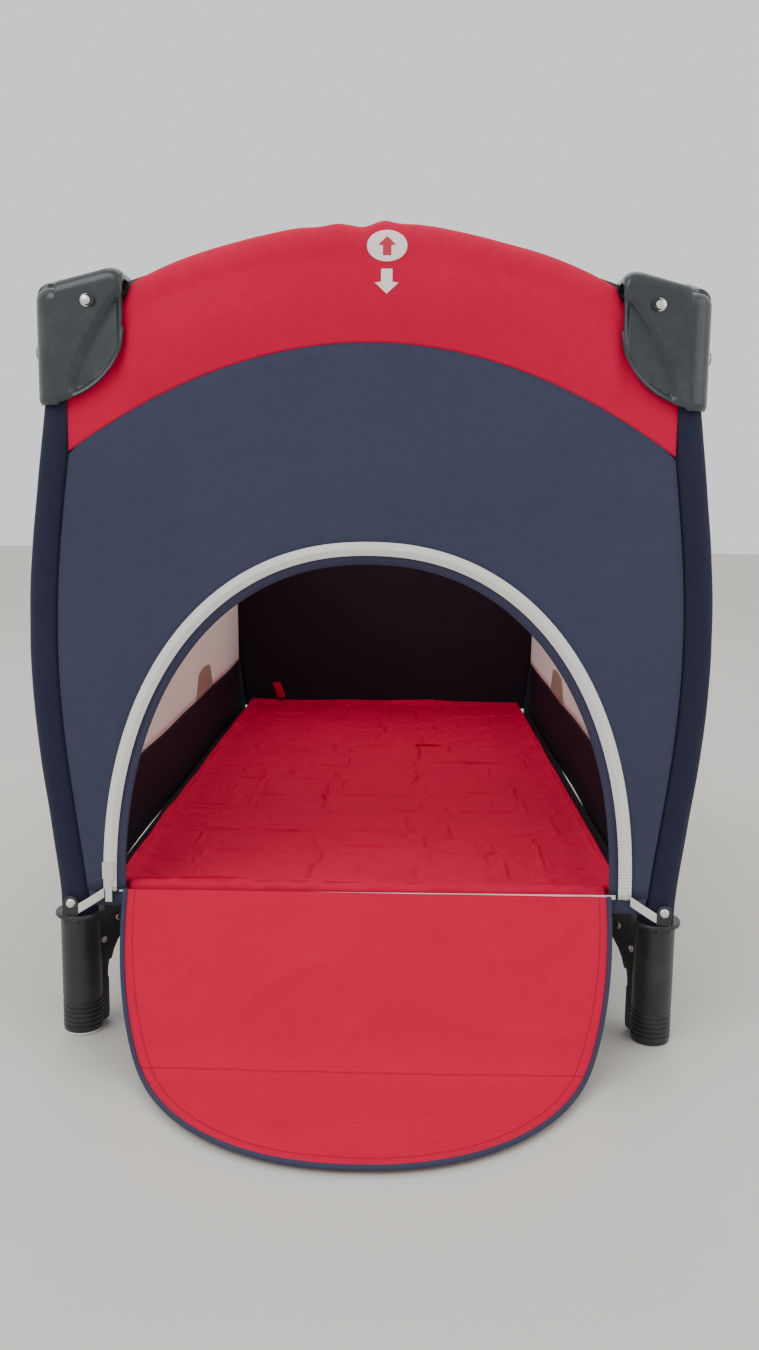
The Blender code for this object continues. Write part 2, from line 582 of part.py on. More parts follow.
# Mid hinges and their lock buttons
end_pin_z = end_rail_z(END_PIN_X)
quarter_turn = Matrix.Rotation(math.radians(90), 4, "Z")
for side_name, side in (("front", FRONT), ("back", BACK)):
    joint_empty("hinge_" + side_name, (-END_PIN_X, side * POST_Y, end_pin_z))
    joint_empty("button_" + side_name, (0, side * POST_Y, end_pin_z))
    for kind, mesh, material in (
        ("mid_hinge", hinge_mesh(END_PIN_X, end_pin_z, True), BLACK_PLASTIC),
        ("lock_button", button_mesh(end_pin_z), RED),
    ):
        mesh.transform(Matrix.Translation((0, side * POST_Y, 0)))
        body = ("hinge_" if kind == "mid_hinge" else "button_") + side_name
        piece(kind + "_" + side_name, mesh, material, body)
for side_name, side in (("left", LEFT), ("right", RIGHT)):
    joint_empty("hinge_" + side_name, (side * POST_X, -SIDE_PIN_Y, RAIL_Z))
    joint_empty("button_" + side_name, (side * POST_X, 0, RAIL_Z))
    for kind, mesh, material in (
        ("mid_hinge", hinge_mesh(SIDE_PIN_Y, RAIL_Z), BLACK_PLASTIC),
        ("lock_button", button_mesh(RAIL_Z), RED),
    ):
        mesh.transform(Matrix.Translation((side * POST_X, 0, 0)) @ quarter_turn)
        body = ("hinge_" if kind == "mid_hinge" else "button_") + side_name
        piece(kind + "_" + side_name, mesh, material, body)

# End walls, side walls, windows and rail covers
piece("wall_front", end_wall_mesh(DOOR_Y, True), NAVY, "corner_front_left")
piece("wall_back", end_wall_mesh(-DOOR_Y, False), NAVY, "corner_back_left")
side_level = POST_X + SIDE_WALL_OFFSET
side_edge = POST_Y - SLEEVE_RADIUS - WALL_GAP
wall_outline = rectangle((-side_edge, WALL_BOTTOM_Z), (side_edge, WALL_TOP_Z))
hole_outline = rectangle((-WINDOW_HALF_Y, WINDOW_LOW_Z), (WINDOW_HALF_Y, WINDOW_HIGH_Z))
mesh_y = WINDOW_HALF_Y - WINDOW_GAP
mesh_outline = rectangle((-mesh_y, WINDOW_LOW_Z + WINDOW_GAP), (mesh_y, WINDOW_HIGH_Z - WINDOW_GAP))
for side_name, side in (("left", LEFT), ("right", RIGHT)):
    body = "corner_front_" + side_name
    piece("wall_" + side_name, plate([wall_outline, hole_outline], CLOTH, "X", side * side_level), NAVY, body)
    piece("window_" + side_name, plate([mesh_outline], CLOTH / 2, "X", side * side_level), MESH, body)


def end_crown(x):
    return end_rail_z(x) - RAIL_Z


def no_crown(_):
    return 0.0


end_cover = cover_mesh(COVER_HALF_X, end_crown, True)
side_cover = cover_mesh(COVER_HALF_Y, no_crown, False)
piece("cover_front", end_cover, RED, "corner_front_left", (1, FRONT))
piece("cover_back", end_cover, RED, "corner_back_left", (1, BACK))
piece("cover_left", side_cover, RED, "corner_front_left", (LEFT, 1))
piece("cover_right", side_cover, RED, "corner_front_right", (RIGHT, 1))

# Floor cloth and mattress
floor_low = (-FLOOR_HALF_X, -FLOOR_HALF_Y, FLOOR_LOW_Z)
floor_high = (FLOOR_HALF_X, FLOOR_HALF_Y, FLOOR_HIGH_Z)
piece("floor_cloth", box(floor_low, floor_high), NAVY, "hub")
joint_empty("mattress", (0, 0, MATTRESS_LOW_Z))
mattress_low = (-MATTRESS_HALF_X, -MATTRESS_HALF_Y, MATTRESS_LOW_Z)
mattress_high = (MATTRESS_HALF_X, MATTRESS_HALF_Y, MATTRESS_HIGH_Z)
piece("mattress", box(mattress_low, mattress_high), RED, "mattress")

# Door: tape, slider and a flap in two parts that bends where it meets the floor
piece("door_tape", door_tape_mesh(), TAPE, "corner_front_left")
slider_x = -(DOOR_HALF_WIDTH + TAPE_GAP + TAPE_WIDTH / 2)
slider = box(
    (slider_x - SLIDER_HALF_X, SLIDER_FACE_Y, SLIDER_Z - SLIDER_HALF_Z),
    (slider_x + SLIDER_HALF_X, SLIDER_BACK_Y, SLIDER_Z + SLIDER_HALF_Z),
)
pull = box(
    (slider_x - PULL_HALF_X, PULL_FACE_Y, SLIDER_Z - PULL_LOW),
    (slider_x + PULL_HALF_X, PULL_BACK_Y, SLIDER_Z - PULL_HIGH),
)
piece("zip_slider", combined(slider, [pull], "UNION"), RIVET, "corner_front_left")
hinge_line = Vector((0, DOOR_HINGE_Y, DOOR_HINGE_Z))
bend_line = hinge_line + Vector((0, -math.cos(FLAP_SLOPE), -math.sin(FLAP_SLOPE))) * FLAP_BEND
joint_empty("door_upper", hinge_line)
joint_empty("door_lower", bend_line)
upper_flap = flap_mesh(FLAP_GAP, FLAP_BEND - FLAP_GAP, hinge_line, FLAP_SLOPE)
lower_start = bend_line + Vector((0, FLAP_BEND, 0))
lower_flap = flap_mesh(FLAP_BEND + FLAP_GAP, FLAP_LENGTH - FLAP_TIP_GAP, lower_start, 0.0)
piece("door_flap_upper", upper_flap, RED, "door_upper")
piece("door_flap_lower", lower_flap, RED, "door_lower")
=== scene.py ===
import json
import math

import bpy
from mathutils import Matrix, Vector, noise


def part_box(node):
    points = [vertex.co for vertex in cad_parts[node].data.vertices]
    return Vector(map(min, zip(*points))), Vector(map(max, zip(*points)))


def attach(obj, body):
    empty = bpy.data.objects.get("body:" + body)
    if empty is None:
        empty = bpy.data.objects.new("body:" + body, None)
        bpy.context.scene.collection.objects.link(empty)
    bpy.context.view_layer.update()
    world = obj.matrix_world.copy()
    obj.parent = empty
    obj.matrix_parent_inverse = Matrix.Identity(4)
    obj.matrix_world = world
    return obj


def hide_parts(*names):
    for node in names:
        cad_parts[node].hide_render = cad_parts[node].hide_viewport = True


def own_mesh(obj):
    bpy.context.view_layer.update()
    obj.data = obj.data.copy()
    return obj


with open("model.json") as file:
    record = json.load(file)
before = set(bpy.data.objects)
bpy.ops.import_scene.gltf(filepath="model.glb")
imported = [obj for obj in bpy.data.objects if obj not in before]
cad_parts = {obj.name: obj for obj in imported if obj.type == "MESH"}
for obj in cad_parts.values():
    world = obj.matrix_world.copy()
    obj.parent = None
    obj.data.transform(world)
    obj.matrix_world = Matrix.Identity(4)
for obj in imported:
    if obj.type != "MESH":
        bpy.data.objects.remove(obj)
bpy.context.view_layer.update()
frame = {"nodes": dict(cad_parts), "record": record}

LEFT, RIGHT, FRONT, BACK = -1, 1, -1, 1
CLOTH, PADDED_CLOTH = 0.0012, 0.0015

# ---------------------------------------------------------------------------------------------
# Plain woven polyester. The navy body, the red covers and the flap are the same light cloth in
# two colours, so one weave group serves them: fine crossing threads, slubs and soft creases.


def group_sockets(group, inputs, outputs):
    for name, kind, value in inputs:
        socket = group.interface.new_socket(name, in_out="INPUT", socket_type=kind)
        socket.default_value = value
    for name, kind in outputs:
        group.interface.new_socket(name, in_out="OUTPUT", socket_type=kind)
    return group.nodes.new("NodeGroupInput"), group.nodes.new("NodeGroupOutput")


def node(tree, kind, wires=None, **values):
    """A shader node with named properties and sockets; wires maps a socket to what feeds it."""
    made = tree.nodes.new(kind)
    for key, value in values.items():
        if hasattr(made, key):
            setattr(made, key, value)
        else:
            made.inputs[key.replace("_", " ")].default_value = value
    for socket, source in (wires or {}).items():
        tree.links.new(source, made.inputs[socket])
    return made


weave = bpy.data.node_groups.new("plain_weave", "ShaderNodeTree")
ins, outs = group_sockets(
    weave,
    [("Colour", "NodeSocketColor", (0.5, 0.5, 0.5, 1)), ("Shade", "NodeSocketColor", (0.2, 0.2, 0.2, 1)),
     ("Threads", "NodeSocketFloat", 900.0), ("Mottle", "NodeSocketFloat", 0.5)],
    [("Colour", "NodeSocketColor"), ("Height", "NodeSocketFloat"), ("Roughness", "NodeSocketFloat")],
)
place = node(weave, "ShaderNodeTexCoord")
warp = node(weave, "ShaderNodeTexWave", {"Vector": place.outputs["Object"], "Scale": ins.outputs["Threads"]},
            bands_direction="DIAGONAL", Distortion=0.6)
weft = node(weave, "ShaderNodeTexWave", {"Vector": place.outputs["Object"], "Scale": ins.outputs["Threads"]},
            bands_direction="Z", Distortion=0.6)
threads = node(weave, "ShaderNodeMath", {0: warp.outputs["Fac"], 1: weft.outputs["Fac"]},
               operation="MULTIPLY")
slubs = node(weave, "ShaderNodeTexNoise", {"Vector": place.outputs["Object"]}, Scale=160.0, Detail=3.0)
cloud = node(weave, "ShaderNodeTexNoise", {"Vector": place.outputs["Object"]}, Scale=9.0, Detail=4.0,
             Roughness=0.62)
mottle = node(weave, "ShaderNodeMath", {0: cloud.outputs["Fac"], 1: ins.outputs["Mottle"]},
              operation="MULTIPLY")
speck = node(weave, "ShaderNodeMath", {0: slubs.outputs["Fac"]}, operation="MULTIPLY_ADD")
speck.inputs[1].default_value = 0.35
speck.inputs[2].default_value = -0.12
shade = node(weave, "ShaderNodeMath", {0: mottle.outputs[0], 1: speck.outputs[0]}, operation="ADD",
             use_clamp=True)
dyed = node(weave, "ShaderNodeMix", {"Factor": shade.outputs[0]}, data_type="RGBA")
weave.links.new(ins.outputs["Colour"], dyed.inputs["A"])
weave.links.new(ins.outputs["Shade"], dyed.inputs["B"])
creases = node(weave, "ShaderNodeTexNoise", {"Vector": place.outputs["Object"]}, Scale=26.0, Detail=5.0,
               Roughness=0.55)
relief = node(weave, "ShaderNodeMath", {0: creases.outputs["Fac"]}, operation="MULTIPLY_ADD")
relief.inputs[1].default_value = 1.6
weave.links.new(threads.outputs[0], relief.inputs[2])
rough = node(weave, "ShaderNodeMapRange", {"Value": slubs.outputs["Fac"]}, To_Min=0.62, To_Max=0.82)
weave.links.new(dyed.outputs["Result"], outs.inputs["Colour"])
weave.links.new(relief.outputs[0], outs.inputs["Height"])
weave.links.new(rough.outputs["Result"], outs.inputs["Roughness"])


def new_material(name):
    """A material with its tree and its main shader."""
    material = bpy.data.materials.new(name)
    material.use_nodes = True
    return material, material.node_tree, material.node_tree.nodes["Principled BSDF"]


def cloth_material(name, colour, shade, threads=900.0, mottle=0.5, sheen=0.04, bump=0.3):
    material, tree, shader = new_material(name)
    shader.inputs["Sheen Weight"].default_value = sheen
    shader.inputs["Sheen Roughness"].default_value = 0.45
    shader.inputs["Specular IOR Level"].default_value = 0.12
    cloth = tree.nodes.new("ShaderNodeGroup")
    cloth.node_tree = weave
    cloth.inputs["Colour"].default_value = (*colour, 1)
    cloth.inputs["Shade"].default_value = (*shade, 1)
    cloth.inputs["Threads"].default_value = threads
    cloth.inputs["Mottle"].default_value = mottle
    raised = node(tree, "ShaderNodeBump", {"Height": cloth.outputs["Height"]}, Strength=bump, Distance=0.0012)
    tree.links.new(cloth.outputs["Colour"], shader.inputs["Base Color"])
    tree.links.new(cloth.outputs["Roughness"], shader.inputs["Roughness"])
    tree.links.new(raised.outputs["Normal"], shader.inputs["Normal"])
    return material


navy_cloth = cloth_material("navy_cloth", (0.052, 0.055, 0.100), (0.029, 0.031, 0.061), mottle=0.55)
sleeve_cloth = cloth_material("sleeve_cloth", (0.020, 0.022, 0.048), (0.011, 0.012, 0.030), mottle=0.5)
# A darker copy of the navy cloth: painted shade for the inward faces and the floor cloth.
shaded_inside_cloth = cloth_material("shaded_inside_cloth", (0.024, 0.014, 0.024), (0.013, 0.007, 0.013), sheen=0.0)
red_cloth = cloth_material("red_cloth", (0.62, 0.002, 0.052), (0.46, 0.001, 0.030), mottle=0.55, sheen=0.0)
flap_cloth = cloth_material("flap_cloth", (0.62, 0.002, 0.048), (0.50, 0.001, 0.032), mottle=0.55, sheen=0.0,
                            bump=0.2)


def only(obj):
    """Selects one object alone, as the active one."""
    bpy.ops.object.select_all(action="DESELECT")
    obj.select_set(True)
    bpy.context.view_layer.objects.active = obj


def join_doubles(obj, merge_under=0.00002):
    """Merges the vertices that meet and turns all faces outwards."""
    only(obj)
    bpy.ops.object.mode_set(mode="EDIT")
    bpy.ops.mesh.select_all(action="SELECT")
    bpy.ops.mesh.remove_doubles(threshold=merge_under)
    bpy.ops.mesh.normals_make_consistent(inside=False)
    bpy.ops.object.mode_set(mode="OBJECT")


def cloth_grid(name, across, along, shape, material):
    """A sheet from a grid primitive, each vertex placed by shape(u, v), with u and v from 0 to 1."""
    bpy.ops.object.select_all(action="DESELECT")
    bpy.ops.mesh.primitive_grid_add(x_subdivisions=across, y_subdivisions=along, size=1)
    obj = bpy.context.active_object
    obj.name = name
    for vertex in obj.data.vertices:
        vertex.co = shape(vertex.co.x + 0.5, vertex.co.y + 0.5)
    obj.data.materials.append(material)
    bpy.ops.object.shade_smooth()
    return obj


def thicken(obj, thickness, offset=0.0):
    """Gives a sheet its thickness, with its doubles merged and its faces outwards."""
    join_doubles(obj)
    wall = obj.modifiers.new("thickness", "SOLIDIFY")
    wall.thickness = thickness
    wall.offset = offset
    bpy.ops.object.modifier_apply(modifier="thickness")
    return obj


def shade_inward_faces(obj, inward, shaded_cloth):
    """Gives the faces that look inwards a darker copy of the cloth, as painted shade."""
    obj.data.materials.append(shaded_cloth)
    inward = Vector(inward)
    for face in obj.data.polygons:
        if face.normal.dot(inward) > 0.2:
            face.material_index = 1


def lumps(x, y, z):
    return noise.noise(Vector((x, y, z)))


def ripple(x, y, z, scale, depth, seed):
    """A soft hand-made unevenness, the same every run."""
    return depth * lumps(x * scale + seed, y * scale - seed, z * scale)


# ---------------------------------------------------------------------------------------------
# End walls. One flat navy panel at each end, sewn round the bowed posts. The front one has the
# arched doorway, bound with a narrow navy strip; a red padded cover closes it over the rail.

wall_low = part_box("wall_front")[0].z
sleeve_low, sleeve_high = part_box("post_sleeve_back_right")
post_x = sleeve_low.x + (sleeve_high.y - sleeve_low.y) / 2
post_y = (sleeve_low.y + sleeve_high.y) / 2
sleeve_radius = (sleeve_high.y - sleeve_low.y) / 2
bow_depth = sleeve_high.x - sleeve_radius - post_x
BOW_MIDDLE, BOW_HALF, BOW_FULLNESS = 0.420, 0.276, 0.65
ARCH_POWER = 2.2
tape_low, tape_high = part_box("door_tape")
door_sill = tape_low.z
DOOR_HALF, DOOR_RISE = tape_high.x - 0.0240, 0.346
BAND_MIDDLE_Z, BAND_DROP = 0.726, 0.112


def narrow_across(obj):
    """Gives the object its own copy of its mesh."""
    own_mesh(obj)


def narrow_along(obj):
    """Gives the object its own copy of its mesh."""
    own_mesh(obj)


def bow(z):
    share = (z - BOW_MIDDLE) / BOW_HALF
    return bow_depth * ((1 + math.cos(math.pi * share)) / 2) ** BOW_FULLNESS if abs(share) < 1 else 0.0


def wall_edge(z):
    return post_x - sleeve_radius + 0.004 + bow(z)


def band_z(x):
    """Height of the seam between the navy panel and the red cover."""
    return BAND_MIDDLE_Z - BAND_DROP * (x / post_x) ** 2


def arch_point(angle, grow):
    """A point (x, z) on the doorway's outline grown outwards, from right over the top to left."""
    c, s = math.cos(angle), max(math.sin(angle), 0.0)
    x = math.copysign(abs(c) ** (2 / ARCH_POWER), c) * (DOOR_HALF + grow)
    return x, door_sill + (DOOR_RISE + grow) * s ** (2 / ARCH_POWER)


def rim_point(angle):
    """The panel's outer edge straight out from the doorway's middle at an angle."""
    direction = Vector((math.cos(angle), math.sin(angle)))
    near, far = 0.05, 0.9
    for _ in range(28):
        middle = (near + far) / 2
        x, z = direction.x * middle, door_sill + direction.y * middle
        inside = abs(x) < wall_edge(z) and z < band_z(x)
        near, far = (middle, far) if inside else (near, middle)
    return direction.x * near, door_sill + direction.y * near


def front_panel(u, v):
    angle = math.pi * u
    inner_x, inner_z = arch_point(angle, 0.0)
    outer_x, outer_z = rim_point(math.atan2(inner_z - door_sill, inner_x) if 0 < u < 1 else angle)
    x = inner_x + (outer_x - inner_x) * v
    z = inner_z + (outer_z - inner_z) * v
    free = math.sin(math.pi * v) ** 0.7
    return x, -post_y - 0.0165 - free * ripple(x, 0, z, 7, 0.004, 3) - 0.002 * free, z


def below_sill(u, v):
    z = wall_low + (door_sill - wall_low) * v
    x = (2 * u - 1) * (wall_edge(z) - 0.001)
    return x, -post_y - 0.0165 - ripple(x, 0, z, 9, 0.001, 5), z


def back_panel(u, v):
    x_share = 2 * u - 1
    z = wall_low + (band_z(x_share * post_x) - wall_low) * v
    x = x_share * wall_edge(z)
    free = (1 - x_share ** 2) * math.sin(math.pi * v)
    return x, post_y + 0.0165 + free * (0.003 + ripple(x, 1, z, 6, 0.005, 8)), z


front_sheet = thicken(cloth_grid("front_panel", 120, 20, front_panel, navy_cloth), CLOTH)
sill_strip = thicken(cloth_grid("front_sill_strip", 60, 3, below_sill, navy_cloth), CLOTH)
back_sheet = thicken(cloth_grid("back_panel", 60, 50, back_panel, navy_cloth), CLOTH)
# The faces that look inwards get the darker cloth, as painted shade.
shade_inward_faces(front_sheet, (0, 1, 0), shaded_inside_cloth)
shade_inward_faces(back_sheet, (0, -1, 0), shaded_inside_cloth)
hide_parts("wall_front")
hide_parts("wall_back")
for sheet in (front_sheet, sill_strip):
    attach(sheet, "corner_front_left")
    narrow_across(sheet)
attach(back_sheet, "corner_back_left")
narrow_across(back_sheet)

# ---------------------------------------------------------------------------------------------
# Domed end covers. Red padded cloth sewn to the panel, hung over the arched end rails and
# gathered a little over the middle hinge, where the lock sits.

rail_low, rail_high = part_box("side_rail_front_left")
rail_z = (rail_low.z + rail_high.z) / 2
crown_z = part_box("cover_front")[1].z
cap_inner_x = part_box("cap_front_right")[0].x
CREST_AT_CAP = 0.780


def crest_z(x):
    return crown_z - 0.003 - (crown_z - 0.003 - CREST_AT_CAP) * (abs(x) / cap_inner_x) ** 2.1


def end_cover(side):
    def shape(u, v):
        x_share = 2 * u - 1
        tuck = max(0.0, (abs(x_share) * post_x - cap_inner_x - 0.002) / 0.014)
        x = x_share * wall_edge(band_z(x_share * post_x))
        crest = crest_z(min(abs(x), cap_inner_x))
        seam = band_z(x)
        outer, rise = 0.0185, 0.024
        bunch = 0.5 + 0.5 * math.cos(min(abs(x) / 0.09, 1) * math.pi)
        if v < 0.6:
            t = v / 0.6
            out = outer - 0.002 * (1 - t) + 0.0045 * math.sin(math.pi * min(t * 1.1, 1))
            z = seam + (crest - rise - seam) * t
        elif v < 0.88:
            a = math.pi * (v - 0.6) / 0.28
            out, z = outer * math.cos(a), crest - rise + rise * math.sin(a)
        else:
            t = (v - 0.88) / 0.12
            out, z = -outer, crest - rise - 0.05 * t
        top = math.exp(-((z - crest) / 0.035) ** 2)
        below = crest - z
        z += top * bunch * ripple(x, 0, 0, 42, 0.0050, 11)
        z += top * ripple(x, out, 0, 12, 0.0030, 23 + side)
        fan = x * (1 + 1.1 * below / 0.1)
        gather = lumps(fan * 38, below * 5, 12.3) + 0.6 * lumps(fan * 75, below * 9, 2.3)
        sides = min(1.0, abs(x) / 0.06)
        out += ripple(x, 0, z, 8, 0.0045, 31 + side) * math.sin(math.pi * min(v / 0.6, 1))
        inside = 1 if v < 0.75 else 0.4
        out += 0.0024 * gather * (0.35 + 0.65 * bunch) * sides * math.exp(-below / 0.07) * inside
        if tuck > 0:
            hidden = seam + (0.752 - seam) * min(v / 0.6, 1)
            share = min(tuck, 1.0)
            z = z + (min(z, hidden) - z) * share
            out = out + (0.0165 - out) * share
        return x, side * (post_y + out), z

    return shape


for side, name, body in ((FRONT, "front", "corner_front_left"), (BACK, "back", "corner_back_left")):
    cover = thicken(cloth_grid("end_cover_" + name, 140, 60, end_cover(side), red_cloth), PADDED_CLOTH)
    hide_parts("cover_" + name)
    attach(cover, body)
    narrow_across(cover)
    if side == FRONT:
        front_cover = cover

# ---------------------------------------------------------------------------------------------
# Printed sign. A plain white disc with an upward arrow, and a downward arrow under it, printed on
# the front cover to show where the lock is pressed.


def ink(name, light, dark):
    """Screen print, slightly broken by the threads under it."""
    material, tree, shader = new_material(name)
    place = node(tree, "ShaderNodeTexCoord")
    threads = node(tree, "ShaderNodeTexNoise", {"Vector": place.outputs["Object"]}, Scale=900.0, Detail=2.0)
    tone = node(tree, "ShaderNodeMix", {"Factor": threads.outputs["Fac"]}, data_type="RGBA")
    tone.inputs["A"].default_value = (*light, 1)
    tone.inputs["B"].default_value = (*dark, 1)
    tree.links.new(tone.outputs["Result"], shader.inputs["Base Color"])
    shader.inputs["Roughness"].default_value = 0.7
    return material


white_ink = ink("white_print", (0.86, 0.80, 0.80), (0.76, 0.66, 0.67))
red_ink = ink("red_print", (0.60, 0.02, 0.06), (0.46, 0.01, 0.04))
SIGN_X, DISC_Z, DISC_RADIUS, ARROW_TOP = 0.014, 0.8165, 0.0175, 0.7945


def on_cover(x, z, lift):
    _, spot, normal, _ = front_cover.ray_cast(Vector((x, -2, z)), Vector((0, 1, 0)))
    return spot + normal * lift


def disc(u, v):
    a, r = 2 * math.pi * u, DISC_RADIUS * v
    return on_cover(SIGN_X + r * math.cos(a) * 1.12, DISC_Z + r * math.sin(a) * 0.86, 0.0004)


def arrow(top, length, half, lift):
    def shape(u, v):
        wide = half * 0.48 if v < 0.55 else half * max(0.0, 1 - (v - 0.56) / 0.44)
        return on_cover(SIGN_X + (2 * u - 1) * wide, top - length * v, lift)

    return shape


for name, across, along, shape, material in (
    ("sign_disc", 40, 10, disc, white_ink),
    ("sign_up_arrow", 6, 40, arrow(DISC_Z - 0.009, -0.018, 0.0085, 0.0007), red_ink),
    ("sign_down_arrow", 6, 40, arrow(ARROW_TOP, 0.0235, 0.0115, 0.0004), white_ink),
):
    print_layer = thicken(cloth_grid(name, across, along, shape, material), 0.0002)
    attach(print_layer, "corner_front_left")
    narrow_across(print_layer)

# ---------------------------------------------------------------------------------------------
# Side covers. The same padded sleeve over the straight side rails, closed by a seam inside.

side_cover_low, side_cover_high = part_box("cover_right")


def side_cover(side):
    def shape(u, v):
        y = side_cover_low.y + (side_cover_high.y - side_cover_low.y) * u
        outer, rise = 0.0185, 0.024
        crest = side_cover_high.z
        if v < 0.3:
            out, z = outer, side_cover_low.z - 0.006 + (crest - rise - side_cover_low.z + 0.006) * v / 0.3
        elif v < 0.75:
            a = math.pi * (v - 0.3) / 0.45
            out, z = outer * math.cos(a), crest - rise + rise * math.sin(a)
        else:
            out, z = -outer, crest - rise - 0.040 * (v - 0.75) / 0.25
        out += ripple(0, y, z, 9, 0.003, 41 + side)
        z += ripple(0, y, out, 12, 0.003, 51 + side)
        return side * (post_x + out), y, z

    return shape


for side, name in ((LEFT, "left"), (RIGHT, "right")):
    cover = thicken(cloth_grid("side_cover_" + name, 150, 30, side_cover(side), red_cloth), PADDED_CLOTH)
    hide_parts("cover_" + name)
    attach(cover, "corner_front_" + name)
    narrow_along(cover)

# ---------------------------------------------------------------------------------------------
# Side walls. A navy band at the foot and narrow navy margins at the posts, with a large window
# of cream netting sewn in between.

window_low, window_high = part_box("window_right")
side_x = (window_low.x + window_high.x) / 2
wall_side_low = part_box("wall_right")[0]

net, tree, shader = new_material("cream_netting")
shader.inputs["Roughness"].default_value = 0.8
shader.inputs["Sheen Weight"].default_value = 0.2
place = node(tree, "ShaderNodeTexCoord")
flat = node(tree, "ShaderNodeMapping", {"Vector": place.outputs["Object"]})
flat.inputs["Scale"].default_value = (0, 1, 1)
cells = node(tree, "ShaderNodeTexVoronoi", {"Vector": flat.outputs["Vector"]}, feature="DISTANCE_TO_EDGE",
             Scale=420.0, Randomness=0.25)
yarn = node(tree, "ShaderNodeMapRange", {"Value": cells.outputs["Distance"]}, From_Min=0.22, From_Max=0.34,
            To_Min=1.0, To_Max=0.25)
tone = node(tree, "ShaderNodeTexNoise", {"Vector": place.outputs["Object"]}, Scale=5.0, Detail=3.0)
ramp = node(tree, "ShaderNodeMix", {"Factor": tone.outputs["Fac"]}, data_type="RGBA")
ramp.inputs["A"].default_value = (0.96, 0.91, 0.84, 1)
ramp.inputs["B"].default_value = (0.92, 0.86, 0.78, 1)
tree.links.new(ramp.outputs["Result"], shader.inputs["Base Color"])
tree.links.new(yarn.outputs["Result"], shader.inputs["Alpha"])


patch_cloth = cloth_material("patch_cloth", (0.40, 0.28, 0.23), (0.30, 0.20, 0.16), mottle=0.5)
PATCH_Y, PATCH_HALF, PATCH_RISE = 0.13, 0.085, 0.045


WALL_END_Y = post_y - 0.012


def side_band(side, y0, y1, z0, z1, seed):
    def shape(u, v):
        y, z = y0 + (y1 - y0) * u, z0 + (z1 - z0) * v
        at_post = max(0.0, (abs(y) - window_high.y) / (WALL_END_Y - window_high.y))
        under_cover = max(0.0, (z - 0.60) / (side_cover_low.z - 0.60)) ** 2
        x = side_x + at_post * (post_x + bow(z) - side_x)
        x += (1 - at_post) * under_cover * (side_cover_high.x - 0.002 - side_x)
        x += ripple(0, y, z, 4, 0.004, seed) * (1 - at_post) * (1 - under_cover)
        return side * x, y, z

    return shape


for side, name in ((LEFT, "left"), (RIGHT, "right")):
    net_low, net_high, post_gap = window_low.z, side_cover_low.z, WALL_END_Y
    bands = {
        "foot": (-post_gap, post_gap, wall_side_low.z, net_low, 110, 12),
        "front_margin": (-post_gap, window_low.y, net_low, net_high, 4, 44),
        "back_margin": (window_high.y, post_gap, net_low, net_high, 4, 44),
    }
    for place_name, (y0, y1, z0, z1, across, along) in bands.items():
        band = cloth_grid("side_" + place_name + "_" + name, across, along,
                          side_band(side, y0, y1, z0, z1, 61 + side), navy_cloth)
        thicken(band, CLOTH)
        # The faces that look inwards get the darker cloth, as painted shade.
        shade_inward_faces(band, (-side, 0, 0), shaded_inside_cloth)
        if place_name == "foot":
            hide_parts("wall_" + name)
        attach(band, "corner_front_" + name)
        narrow_along(band)
    pane = cloth_grid("net_window_" + name, 120, 44,
                      side_band(side, window_low.y, window_high.y, net_low, net_high, 61 + side), net)
    thicken(pane, 0.0006)
    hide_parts("window_" + name)
    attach(pane, "corner_front_" + name)
    narrow_along(pane)

    def patch_shape(u, v):
        y = PATCH_Y + (2 * u - 1) * PATCH_HALF * (1 - 0.45 * v) ** 0.7
        z = net_low + PATCH_RISE * v * (1 - 0.10 * (2 * u - 1) ** 2)
        x = side_band(side, window_low.y, window_high.y, net_low, net_high, 61 + side)(
            (y - window_low.y) / (window_high.y - window_low.y), (z - net_low) / (net_high - net_low))[0]
        return x - side * 0.0012, y, z

    patch = cloth_grid("net_patch_" + name, 24, 14, patch_shape, patch_cloth)
    thicken(patch, 0.0006)
    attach(patch, "corner_front_" + name)
    narrow_along(patch)

# ---------------------------------------------------------------------------------------------
# Post sleeves. Navy padded cloth wrapped round the bowed steel posts and seamed at the inside.


def sleeve(sx, sy):
    def shape(u, v):
        z = sleeve_low.z - 0.003 + (sleeve_high.z - sleeve_low.z + 0.003) * v
        angle = 2 * math.pi * u
        radius = sleeve_radius * (1.0 + 0.035 * lumps(math.cos(angle) * 2, math.sin(angle) * 2, z * 18))
        radius += 0.0012 * math.exp(-((z - sleeve_low.z) / 0.02) ** 2) * lumps(angle * 3, 0, z * 50)
        x = post_x + bow(z) + radius * math.cos(angle)
        return sx * x, sy * (post_y + radius * math.sin(angle)), z

    return shape


for x_name, sx in (("left", LEFT), ("right", RIGHT)):
    for y_name, sy in (("front", FRONT), ("back", BACK)):
        corner = y_name + "_" + x_name
        wrap = cloth_grid("padded_sleeve_" + corner, 32, 90, sleeve(sx, sy), sleeve_cloth)
        thicken(wrap, CLOTH, -1)
        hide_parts("post_sleeve_" + corner)
        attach(wrap, "corner_" + corner)

# ---------------------------------------------------------------------------------------------
# Door tape. Pale woven zip tape sewn round the doorway, with its coil of teeth along the middle
# and a tail at each foot that runs on to the leg.

